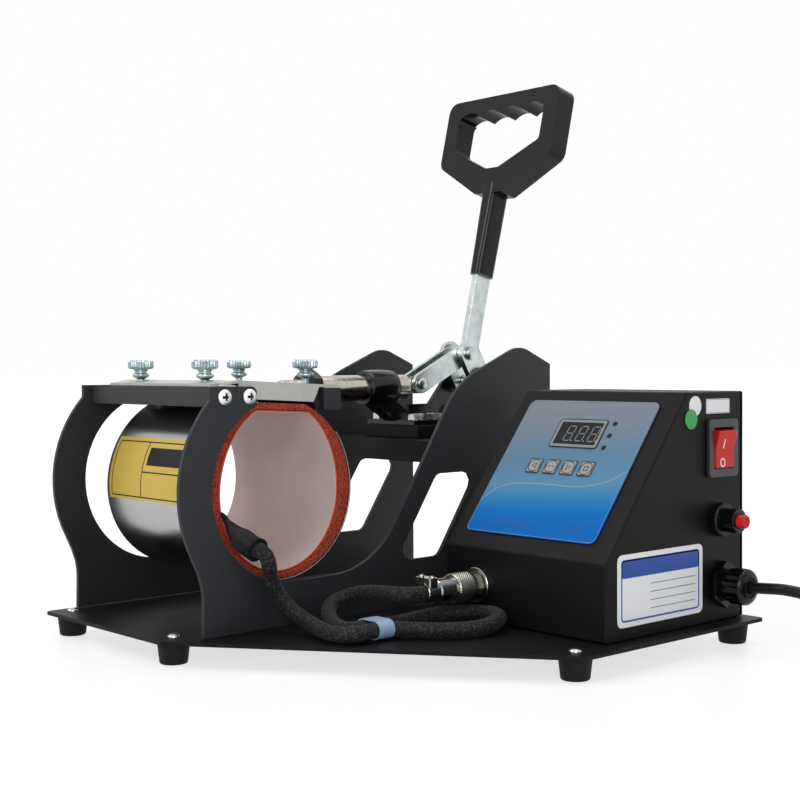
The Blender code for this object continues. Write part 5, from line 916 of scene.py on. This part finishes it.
class HEATPRESS_OT_sheets(bpy.types.Operator):
    """The coated sheets and blocks: base, side plates, shelf, spacer, clamp bars, box and its cover."""
    bl_idname = "heatpress.sheets"
    bl_label = "Coated sheets"

    def execute(self, context):
        edge = context.scene.heat_press.edge / MM
        smooth = powder_coat()
        textured = powder_coat("textured_coat", "#18191c", "#25272b", 0.52, 0.36)
        for node, share, coat, body in (
                ("base_plate", 1.0, smooth, "root"), ("cross_shelf", 1.0, smooth, "root"),
                ("clamp_spacer_block", 0.8, smooth, "root"), ("box_rear_cover", 0.6, smooth, "root"),
                ("control_box", 0.8, smooth, "root"), ("left_side_plate", 1.0, textured, "root"),
                ("right_side_plate", 1.0, textured, "root"), ("front_clamp_bar", 1.0, textured, "root"),
                ("rear_clamp_bar", 1.0, textured, "plunger")):
            edged(node, edge * share, coat, body, "black_powder_coat")
        edged("top_saddle", edge * 0.8, grey_sheet(), "plunger", "grey_zinc_sheet")
        return {"FINISHED"}


class HEATPRESS_OT_feet(bpy.types.Operator):
    """Five rubber feet, each with the domed screw that holds it through the base plate."""
    bl_idname = "heatpress.feet"
    bl_label = "Feet"

    def execute(self, context):
        tall, bottom, hollow, rise, screw = 11.2, 7.2, 3.4, 4.0, 3.2
        for node in ("foot_front_left", "foot_front_middle", "foot_front_right", "foot_rear_right",
                     "foot_rear_left"):
            low, high = box(node)
            x, y = (low + high)[:2] * 0.5
            top, head = (high[0] - low[0]) * 0.5, high[2]
            profile = eased(((0, tall), (top, tall), (bottom, 0), (hollow, 0), (hollow, rise), (0, rise)),
                            (0, 0.5, 1.2, 0.6, 0.3, 0))
            dress(turned(node + "_rubber", profile, (x, y, -DATUM[2] / MM)), moulded_rubber(), "root", [node],
                  "black_rubber")
            if head > 0.5:
                dome = [(screw * math.sin(a), head * math.cos(a) ** 0.8) for a in np.linspace(0.2, 1.5, 9)]
                profile = [(0.0, head), *dome, (screw, 0.05), (0.0, 0.05)]
                dress(turned(node + "_screw", profile, (x, y, 0.0), steps=48), zinc_plate(), "root")
        return {"FINISHED"}


class HEATPRESS_OT_screws(bpy.types.Operator):
    """Pan-head screws with cross slots in the side plates' arms and in the box's rear cover."""
    bl_idname = "heatpress.screws"
    bl_label = "Cross-head screws"

    def pan_head(self, name, place, axis, radius, height, made, nodes=()):
        """A domed head with its cross sunk in it, and a black cross in the recess as painted shade."""
        head = turned(name, domed(radius, height, 0.55, 4, 28), place, axis, 120,
                      cross_recess(radius, height * 0.9, height), sharp=50.0)
        dress(head, made, "root", nodes, "zinc_plate" if nodes else None)
        d, first, second = axes(axis)
        a, b = radius * 0.13, radius * 0.5
        cross = ((a, a), (a, b), (-a, b), (-a, a), (-b, a), (-b, -a), (-a, -a), (-a, -b), (a, -b), (a, -a),
                 (b, -a), (b, a))

        def on_head(u, v, h):
            """Places on the head: u and v across it, h out along its axis."""
            return upright(*(np.array(place) + d * h + np.outer(u, first) + np.outer(v, second)).T)
        # A black cross inside the recess: painted shade in the sunk slot
        slot = prisms(name + "_slot_shade", [cross], height * 0.2, height * 0.62, on_head)
        dress(slot, printed("black_ink"), "root")

    def execute(self, context):
        bright = zinc_plate("zinc_screw", "#d6dadb", "#f0f2f2", 0.42)
        black = zinc_plate("black_screw", "#1c1d20", "#3a3c40", 0.4)
        gap, shank, left = 0.3, 2.0, box("left_side_plate")[0][0]
        for node in ("arm_screw_front", "arm_screw_rear"):
            low, high = box(node)
            y, z = (low + high)[1:] * 0.5
            radius, height = (high[1] - low[1]) * 0.5, high[0] - gap
            self.pan_head(node + "_head", (gap, y, z), (1, 0, 0), radius, height, bright, [node])
            self.pan_head("left_" + node + "_head", (left - 0.05, y, z), (-1, 0, 0), radius, height, bright)
            for name, x, way, length in (("left_" + node, left, 1, 8.8), (node, gap, -1, 9.0)):
                rod = turned(name + "_shank", ((0, 0), (shank, 0), (shank, length), (0, length)), (x, y, z),
                             (way, 0, 0), 32)
                dress(rod, zinc_plate(), "root")
        low, high = box("box_rear_cover")
        inset = 7.0
        spots = [(x, z) for x in (low[0] + inset, high[0] - inset) for z in (low[2] + inset, high[2] - inset)]
        for k, (x, z) in enumerate(spots, 1):
            self.pan_head("cover_screw_%d" % k, (x, high[1] + 0.02, z), (0, 1, 0), 2.8, 1.4, black)
        return {"FINISHED"}


class HEATPRESS_OT_thumb_screws(bpy.types.Operator):
    """Four knurled thumb screws: a grooved head, a waist with a collar, and a threaded shank."""
    bl_idname = "heatpress.thumb_screws"
    bl_label = "Thumb screws"

    def execute(self, context):
        looks = context.scene.heat_press
        zinc = zinc_plate("blue_zinc", "#748790", "#c6d0cf", 0.22)
        waist, collar, core, pitch = 3.3, 4.9, 2.2, 0.8
        for place in ("front_left", "front_right", "rear_left", "rear_right"):
            node = place + "_thumb_screw"
            low, high = box(node)
            x, y = (low + high)[:2] * 0.5
            foot, top, head = low[2], high[2], (high[0] - low[0]) * 0.5
            face = top - 4.9
            start, end = face - 5.8, foot + 0.6
            profile = eased((
                (0.0, top - 0.5), (head * 0.5, top - 0.5), (head * 0.62, top), (head - 0.9, top),
                (head, top - 0.9), (head, face + 0.8), (head - 0.9, face), (4.3, face - 0.3),
                (waist, face - 1.5), (waist, face - 2.2), (collar, face - 3.0), (collar, face - 4.2),
                (3.0, face - 5.4), (core, face - 5.6), (core, end), (1.6, foot), (0.0, foot)), 0.45, 3)

            def shape(wide, tall, t):
                """Grooves in the head's rim and a thread on the shank."""
                knurl = np.cos(t * looks.knurls * 0.5) ** 2 * ((tall > face + 0.3) & (wide > head * 0.8))
                helix = np.abs((tall / pitch - t / TURN) % 1.0 - 0.5) * ((tall < start) & (wide > 2.0))
                return wide - looks.knurl_depth / MM * knurl - 0.35 * helix, tall

            shank = [(core, h) for h in np.linspace(start, end, 40)]
            line = np.concatenate((profile[profile[:, 1] > start + 0.05], shank,
                                   profile[profile[:, 1] < end - 0.05]))
            dress(turned(node + "_turned", line, (x, y, 0.0), steps=176, shape=shape), zinc, node, [node],
                  "zinc_plate")
        return {"FINISHED"}


class HEATPRESS_OT_toggle(bpy.types.Operator):
    """The toggle clamp: casting, bolts, lever, links, pins, plunger and adjusting nut."""
    bl_idname = "heatpress.toggle"
    bl_label = "Toggle clamp"

    def execute(self, context):
        zinc, gloss, nickel = zinc_plate(), enamel(), nickel_plate()
        edged("toggle_body", 0.5, gloss, "root", "black_powder_coat")
        front, rear, bore = 161.6, 185.0, 8.05
        swell = [(10.55 + 0.55 * math.sin(math.pi * s), front + (rear - front) * s)
                 for s in np.linspace(0.08, 0.92, 12)]
        profile = [(bore, rear + 0.1), (bore, front - 0.1), (9.3, front - 0.15), (10.3, front + 0.5), *swell,
                   (10.2, rear - 0.4), (9.4, rear + 0.1)]
        dress(turned("barrel_casting", profile, *SHAFT, 128, ring=True, sharp=60.0), gloss, "root")
        flat, core = 4.6, 2.5
        for k in range(1, 5):
            node = "mount_bolt_%d" % k
            low, high = box(node)
            foot, top, seat = low[2], high[2], high[2] - 3.6
            profile = ((0, top), (flat * 0.97, top), (flat, top), (flat, seat), (flat * 0.9, seat),
                       (core, seat), (core, foot + 0.5), (2.0, foot), (0, foot))
            dress(turned(node + "_hex", profile, (*(low + high)[:2] * 0.5, 0.0), shape=hexagonal(flat)), zinc,
                  "root", [node], "zinc_plate")
        start, end = (corner[1] for corner in box("adjusting_nut"))
        flat, bore = 10.8, 5.2
        profile = ((bore, start), (flat * 0.94, start), (flat, start), (flat, end), (flat * 0.94, end),
                   (bore, end))
        dress(turned("adjusting_nut_hex", profile, *SHAFT, 96, hexagonal(flat), True), gloss, "adjusting_nut",
              ["adjusting_nut"], "black_powder_coat")
        for node, edge, body in (("lever_bar", 0.45, "lever"), ("lever_cheek", 0.45, "lever"),
                                 ("link_plates", 0.45, "link"), ("pivot_pin_frame", 0.3, "root")):
            edged(node, edge, zinc, body, "zinc_plate")
        for node, body, pin, radius in (("lever_cheek", "lever", LEVER_PIN, 4.6),
                                        ("link_plates", "link", LINK_PIN, 3.7)):
            far, near = (corner[0] for corner in box(node))
            for end, x, way in (("near", near + 0.02, 1), ("far", far - 0.02, -1)):
                dress(turned("%s_rivet_%s" % (body, end), domed(radius, 1.2, 0.6, 3, 14), (x, *pin),
                             (way, 0, 0), 72), zinc, body)
        self.plunger(nickel, context.scene.heat_press.thread_pitch / MM, 97.9, start - 0.2)
        return {"FINISHED"}

    def plunger(self, nickel, pitch, rod_front, rod_end):
        """The plunger's shaft, its turned sleeve, and the thread on its rod that runs out at both ends."""
        edged("plunger_shaft", 0.3, nickel, "plunger", "nickel_plate")
        front, tail, radius, core = 123.4, 195.4, 7.86, 5.04
        sleeve = eased(((7.0, front - 0.05), (radius, front + 1.0), (radius, tail), (7.0, tail + 0.45)), 0.3)
        dress(turned("plunger_sleeve", sleeve, *SHAFT, 128, ring=True), nickel, "plunger")

        def thread(wide, tall, t):
            """A ridge whose height is the distance from the nearest winding."""
            helix = np.abs((tall / pitch - t / TURN) % 1.0 - 0.5) * 2.0
            ends = np.clip(np.minimum(tall - rod_front, rod_end - tall) / 0.8, 0.0, 1.0)
            return wide + 0.55 * helix * ends * (wide > 5.0), tall
        line = [(4.9, rod_front), *((core, h) for h in np.linspace(rod_front, rod_end, 110)), (4.9, rod_end)]
        dress(turned("plunger_thread", line, *SHAFT, 72, thread, True), nickel, "plunger")


class HEATPRESS_OT_grip(bpy.types.Operator):
    """The moulded grip: a five-sided loop with finger scallops, on a stem that covers the lever's end."""
    bl_idname = "heatpress.grip"
    bl_label = "Grip"

    def execute(self, context):
        edged("lever_grip", 1.2, moulded_nylon(), "lever", "black_plastic", 3, 25.0)
        return {"FINISHED"}


def band_section(half_width, low, high, flat, steps, start=0.0, turn=TURN):
    """The band's section: width * cos t by height * sin t, the top cut flat, from t = start over a turn."""
    t = start + np.linspace(0.0, turn, steps, endpoint=turn < TURN)
    z = np.where(np.sin(t) > 0, np.minimum(high * np.sin(t), flat), low * np.sin(t))
    return np.stack((half_width * np.cos(t), z), axis=1)


def drawn_out(line, distance):
    """A closed line moved out along its normals."""
    run = np.roll(line, -1, 0) - np.roll(line, 1, 0)
    normal = np.stack((run[:, 1], -run[:, 0]), axis=1)
    return line + normal / np.linalg.norm(normal, axis=1, keepdims=True) * distance


def band(name, inner, outer, near, far, edge, closed=True):
    """A ring of sheet, leaned with the heater: a rounded rectangle carried round between two lines."""
    thick = float(np.median(np.linalg.norm(outer - inner, axis=1)))
    half = (near - far) * 0.5
    loop = eased([(-half, 0.0), (half, 0.0), (half, thick), (-half, thick)], min(edge, thick * 0.45), 3, True)
    y, z = np.moveaxis(inner[:, None] + (outer - inner)[:, None] * (loop[:, 1] / thick)[None, :, None], -1, 0)
    c, s = math.cos(-HEATER_TILT), math.sin(-HEATER_TILT)
    x = np.broadcast_to((near + far) * 0.5 + loop[:, 0], y.shape)
    points = np.stack((x, HEATER_Y + y * c - z * s, HEATER_Z + y * s + z * c), axis=-1) * MM + DATUM
    steps = np.linalg.norm(np.diff(inner, axis=0, append=inner[:1]), axis=1)
    girth = np.concatenate(([0.0], np.cumsum(steps)))
    if not closed:
        first, last = (np.repeat(points[k:k + 1 or None].mean(axis=1, keepdims=True), len(loop), 1)
                       for k in (0, -1))
        points = np.concatenate((first, points, last))
        girth = np.concatenate((girth[:1], girth[:-1], girth[-2:-1]))
    return surface(name, points, (closed, True), (girth, np.append(loop[:, 0], loop[0, 0])))


class HEATPRESS_OT_heater(bpy.types.Operator):
    """The heated band: polished shell, sponge pad, heating mat and its release cloth, with a blank label."""
    bl_idname = "heatpress.heater"
    bl_label = "Heated band"

    def execute(self, context):
        near, far = HEATER_NEAR, HEATER_FAR
        bore, skin = (band_section(*sizes, 288) for sizes in (HEATER_BORE, HEATER_SKIN))
        cloth, mat = drawn_out(bore, 0.35), drawn_out(bore, 1.2)
        for thing, made, node, slot in (
                (band("release_cloth", bore, cloth, near - 0.4, far + 0.4, 0.1), coated_cloth(),
                 "heater_liner", "ptfe_cloth"),
                (band("heating_mat", cloth + (mat - cloth) * 0.02, mat, near, far, 0.3), heater_mat(),
                 "heater_liner", "red_silicone"),
                (band("sponge_pad", drawn_out(bore, 1.5), drawn_out(skin, -1.1), near, far, 0.7),
                 silicone_sponge(), "silicone_pad", "red_silicone"),
                (round_edged("heater_shell", 0.2, 2, 40.0), polished_stainless(), "heater_shell",
                 "polished_steel")):
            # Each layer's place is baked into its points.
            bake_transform(dress(thing, made, None, [node], slot), "root", "plunger",
                     tuple(upright(0.0, 40.0, 90.0)), tuple(upright(0.0, 96.0, 118.0)))
        self.label()
        return {"FINISHED"}

    def label(self):
        """The gold label, its text left off: rules round it and between its parts, and a bar."""
        near, far, rule, high, wide, divide = -14.0, -102.0, 0.7, 0.8, 2.4, -69.5
        left, right, top, foot = far + wide, near - wide, 152.0, 187.4
        low, mid, ink = 0.1, 0.22, 0.27
        for name, start, end, above, below in (
                ("", near, far, 149.5, 190.0), ("_top_rule", right, left, top, top + high),
                ("_bottom_rule", right, left, foot, foot + high),
                ("_middle_rule", right, divide, 171.4, 171.4 + high),
                ("_left_rule", left + rule, left, top, 187.9),
                ("_right_rule", right, right - rule, top, 187.9),
                ("_divider", divide + rule, divide, top, 187.9),
                ("_bar", right - 3.0, divide + 3.4, 156.0, 167.5)):
            lifts = (mid, ink) if name else (low, mid)
            inner, outer = (band_section(*(size + lift for size in HEATER_SKIN), 28, above * DEG,
                                         (below - above) * DEG) for lift in lifts)
            dress(band("heater_label" + name, inner, outer, start, end, 0.02, closed=False),
                  printed("black_ink" if name else "gold_film"), "root")


class HEATPRESS_OT_panel(bpy.types.Operator):
    """The membrane overlay with its keys, display window, digits, lamps and printed lines."""
    bl_idname = "heatpress.panel"
    bl_label = "Membrane panel"

    def execute(self, context):
        film = edged("membrane_panel", 0.15, printed_film(), "root", "blue_overlay")
        window = edged("display_window", 0.15, printed("smoked_acrylic"), "root", "dark_window")
        nodes = ["panel_key_%d" % k for k in range(1, 5)]
        keys = [edged(node, 0.2, printed("key_film"), node, "blue_overlay") for node in nodes]
        self.key_signs(nodes, self.height(keys[0]))
        self.display(self.height(window), self.height(film))
        self.lines(self.height(film))
        for node in ("control_board", "power_board"):
            edged(node, 0.1, circuit_board(), "root", "green_board", 1)
        return {"FINISHED"}

    def height(self, thing):
        """How far a piece stands out of the slope."""
        points = np.array([v.co for v in thing.data.vertices]) - on_slope(0.0, 0.0, 0.0)
        out = (on_slope(0.0, 0.0, 1.0) - on_slope(0.0, 0.0, 0.0)) / MM
        return float((points @ out).max()) / MM

    def key_signs(self, nodes, base):
        """Each key's edge line, ring and sign: triangle, bar, triangle and square."""
        left, low, size, pitch, ink = 66.9, 49.5, 9.6, 12.2, base + 0.04
        signs = (((1.5, 1.9), (1.5, -1.9), (-1.9, 0.0)),
                 ((-2.0, 0.4), (2.0, 0.4), (2.0, -0.4), (-2.0, -0.4)),
                 ((-1.5, -1.9), (-1.5, 1.9), (1.9, 0.0)),
                 ((-1.5, -1.5), (1.5, -1.5), (1.5, 1.5), (-1.5, 1.5)))
        for k, (body, sign) in enumerate(zip(nodes, signs)):
            centre = np.array((left + size * 0.5 + pitch * k, low + size * 0.5))
            rows = [on_slope(*(centre + np.array(sign) * share).T, n)
                    for share, n in ((1.0, base), (1.0, ink), (0.68, ink), (0.68, base))]
            lines = (("_edge", size * 0.5 - 0.25, 0.5, 1.0), ("_ring", 3.9, 0.42, 3.9))
            pieces = [frame_ring(body + name, centre, np.full(2, half), border, radius, base, ink, on_slope)
                      for name, half, border, radius in lines]
            for piece in (*pieces, surface(body + "_sign", np.array(rows), sharp=20.0)):
                dress(piece, printed("black_ink"), body)

    def display(self, base, film):
        """The window's pale frame with its dark edge, three figures of seven strokes and the three lamps."""
        centre, half = (91.25, 76.7), np.array((16.25, 8.9))
        for name, grown, border, radius, high, made in (("display_rim", 0.15, 1.7, 1.6, 0.3, "rim_film"),
                                                        ("display_edge", 0.6, 0.5, 2.0, 0.32, "black_ink")):
            dress(frame_ring(name, centre, half + grown, border, radius, base, base + high, on_slope),
                  printed(made), "root")
        wide, tall, weight, gap, foot, slant = 4.8, 9.6, 0.7, 0.3, 71.9, 0.1
        lines = (((0, 0), (1, 0)), ((0, 1), (1, 1)), ((0, 2), (1, 2)), ((0, 0), (0, 1)), ((0, 1), (0, 2)),
                 ((1, 0), (1, 1)), ((1, 1), (1, 2)))
        outlines = []
        for k in range(3):
            start = np.array((82.2 + 8.5 * k, foot))
            for ends in lines:
                a, b = start + np.array(ends) * (wide, tall * 0.5)
                run = (b - a) / np.linalg.norm(b - a)
                across = np.array((-run[1], run[0])) * weight * 0.5
                tip, shoulder = run * gap, run * (gap + weight * 0.5)
                outlines.append([a + tip, a + shoulder + across, b - shoulder + across, b - tip,
                                 b - shoulder - across, a + shoulder - across])
            outlines.append(rounded(start + (wide + 1.5, 0.0), (0.55, 0.55), 0.5))
        lean = np.array(((1.0, 0.0), (slant, 1.0)))
        leaned = [np.array(line) @ lean - (foot * slant, 0.0) for line in outlines]
        figures = prisms("display_figures", leaned, base, base + 0.05, on_slope)
        dress(figures, printed("unlit_segment"), "root")
        lamps = [rounded((112.7, s), (1.5, 1.5), 1.5) for s in (84.2, 76.3, 68.5)]
        dress(prisms("panel_lamps", lamps, film - 0.02, film + 0.08, on_slope), printed("black_ink"), "root")

    def lines(self, film):
        """The overlay's printed lines: a pale double bend, a painted highlight along its edge and two pairs
        of dark dashes.
        """
        low, high = film - 0.02, film + 0.03
        bend = ((45.6, 30.2, 0.0), (50.6, 36.2, 0.0), (56.0, 39.8, 0.0), (66.8, 42.4, 0.0), (84.7, 43.1, 0.0),
                (107.2, 42.9, 0.0), (121.2, 45.8, 0.0), (129.3, 49.8, 0.0), (135.4, 54.6, 0.0))
        curve, _ = route_curve(bend, 1.2)
        line = stroke(curve[:, :2], 0.42)
        dress(prisms("overlay_bend", [line], low, high, on_slope), printed("pale_ink"), "root")
        # A thin cool grey frame round the film: a painted highlight along its edge
        dress(frame_ring("overlay_edge_highlight", (90.5, 54.5), (45.1, 44.1), 0.25, 3.6, low, high, on_slope),
              printed("edge_ink"), "root")
        dashes = [stroke(((x0, s), (x1, s)), 0.35) for x0, x1 in ((57.4, 87.0), (113.4, 125.1))
                  for s in (17.9, 16.1)]
        dress(prisms("overlay_dashes", dashes, low, high, on_slope), printed("dark_blue_ink"), "root")


class HEATPRESS_OT_labels(bpy.types.Operator):
    """The right wall's stickers, all left blank: a framed plate, a small label and two round ones."""
    bl_idname = "heatpress.labels"
    bl_label = "Wall labels"

    def execute(self, context):
        low, mid, top = 0.05, 0.25, 0.31
        plate, plate_half, inset = np.array((180.0, 25.15)), np.array((35.4, 18.25)), np.array((2.9, 2.6))
        small, small_half = np.array((229.3, 115.75)), np.array((10.6, 3.9))
        heading = (plate[0], plate[1] + plate_half[1] - inset[1] - 4.8)
        heading_half = (plate_half[0] - inset[0] - 0.2, 4.6)
        rules = [rounded((190.0, z), (19.0, 0.2), 0.05) for z in (27.0, 22.8, 18.6, 14.4)]
        t = np.linspace(0.0, TURN, 48, endpoint=False)
        disc = 5.25 * np.stack((np.cos(t), np.sin(t)), axis=1)

        def sheets(name, outlines, base, height, made):
            """Flat paper or ink of the given outlines."""
            dress(prisms(name, outlines, base, height, on_side), printed(made), "root")

        def border(name, centre, half, width, radius, made):
            """A printed line round a label."""
            dress(frame_ring(name, centre, half, width, radius, mid, top, on_side), printed(made), "root")

        sheets("rating_plate", [rounded(plate, plate_half, 4.0)], low, mid, "label_paper")
        border("rating_plate_frame", plate, plate_half - inset, 0.9, 2.6, "blue_ink")
        sheets("rating_plate_heading", [rounded(heading, heading_half, 2.2)], mid, top, "blue_ink")
        sheets("rating_plate_rules", rules, mid, top, "grey_ink")
        sheets("voltage_label", [rounded(small, small_half, 0.6)], low, mid, "label_paper")
        border("voltage_label_frame", small, small_half - 0.35, 0.22, 0.4, "grey_ink")
        sheets("round_sticker_white", [disc + (209.0, 116.2)], low, low + 0.2, "label_paper")
        sheets("round_sticker_green", [disc + (205.3, 109.3)], mid, mid + 0.2, "green_paper")
        return {"FINISHED"}


class HEATPRESS_OT_switches(bpy.types.Operator):
    """The right wall's rocker switch and fuse breaker."""
    bl_idname = "heatpress.switches"
    bl_label = "Switch and breaker"

    def execute(self, context):
        edged("rocker_bezel", 0.35, printed("bezel_plastic"), "root", "black_plastic")
        edged("switch_rocker", 0.3, printed("red_polycarbonate"), "switch_rocker", "red_plastic")
        face, low, high = laid_on("switch_rocker"), -0.05, 0.06
        for mark in (prisms("rocker_on_mark", [stroke(((229.9, 93.2), (229.9, 98.2)), 0.9)], low, high, face),
                     frame_ring("rocker_off_mark", (229.3, 85.6), (2.2, 2.4), 0.75, 2.4, low, high, face)):
            dress(mark, printed("label_paper"), "switch_rocker")
        self.breaker()
        return {"FINISHED"}

    def breaker(self):
        """The breaker's case, its neck, its knurled nut and its dished button, turned round one axis."""
        nylon, y, z = moulded_nylon(), 229.5, 55.0
        spot, seat = ((BOX_RIGHT, y, z), (1, 0, 0)), -3.2
        dress(prisms("breaker_case", [rounded((y, z), (7.5, 7.5), 0.8)], -29.2, seat, on_side), nylon, "root",
              ["breaker_body"], "black_plastic")
        nut, neck, bore, tip, button = 5.0, 14.0, 3.75, 18.2, 3.6
        profile = eased(((bore, seat), (6.4, seat), (6.4, neck), (bore + 0.4, neck), (bore, neck - 0.4)),
                        0.5, 3, True)
        dress(turned("breaker_neck", profile, *spot, 72, ring=True), nylon, "root")
        rows = [(9.1, h) for h in np.linspace(0.7, nut - 0.7, 6)]
        profile = [(6.45, 0.05), (8.4, 0.05), *rows, (8.3, nut), (6.45, nut)]
        dress(turned("breaker_nut_knurled", profile, *spot, 216, fluted(36, 0.5, 0.3, nut - 0.3), True),
              moulded_nylon("nut_nylon", "#0b0b0c", 0.4), "root", ["breaker_nut"], "black_plastic")
        profile = [(0.0, tip - 1.1), (1.5, tip - 0.9), (2.0, tip - 0.15), (2.5, tip), (3.2, tip - 0.15),
                   (button, tip - 0.7), (button, -8.5), (0.0, -8.5)]
        dress(turned("reset_button_turned", profile, *spot, 64), printed("red_nylon"), "reset_button",
              ["reset_button"], "red_plastic")


class HEATPRESS_PT_panel(bpy.types.Panel):
    """Lists the steps that dress the press."""
    bl_idname = "HEATPRESS_PT_panel"
    bl_label = "Heat Press"
    bl_space_type = "VIEW_3D"
    bl_region_type = "UI"
    bl_category = "Heat Press"

    def draw(self, context):
        looks = context.scene.heat_press
        for name in HeatPressLooks.__annotations__:
            self.layout.prop(looks, name)
        for step in STEPS:
            self.layout.operator(step.bl_idname)


STEPS = (HEATPRESS_OT_stage, HEATPRESS_OT_lead, HEATPRESS_OT_cord, HEATPRESS_OT_sheets, HEATPRESS_OT_feet,
         HEATPRESS_OT_screws, HEATPRESS_OT_thumb_screws, HEATPRESS_OT_toggle, HEATPRESS_OT_grip,
         HEATPRESS_OT_heater, HEATPRESS_OT_panel, HEATPRESS_OT_labels, HEATPRESS_OT_switches)
CLASSES = (HeatPressLooks, *STEPS, HEATPRESS_PT_panel)


def register():
    for kind in CLASSES:
        bpy.utils.register_class(kind)
    bpy.types.Scene.heat_press = PointerProperty(type=HeatPressLooks)


def unregister():
    del bpy.types.Scene.heat_press
    for kind in reversed(CLASSES):
        bpy.utils.unregister_class(kind)


def main():
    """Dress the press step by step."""
    register()
    for step in STEPS:
        group, name = step.bl_idname.split(".")
        getattr(getattr(bpy.ops, group), name)()


if __name__ == "__main__":
    main()
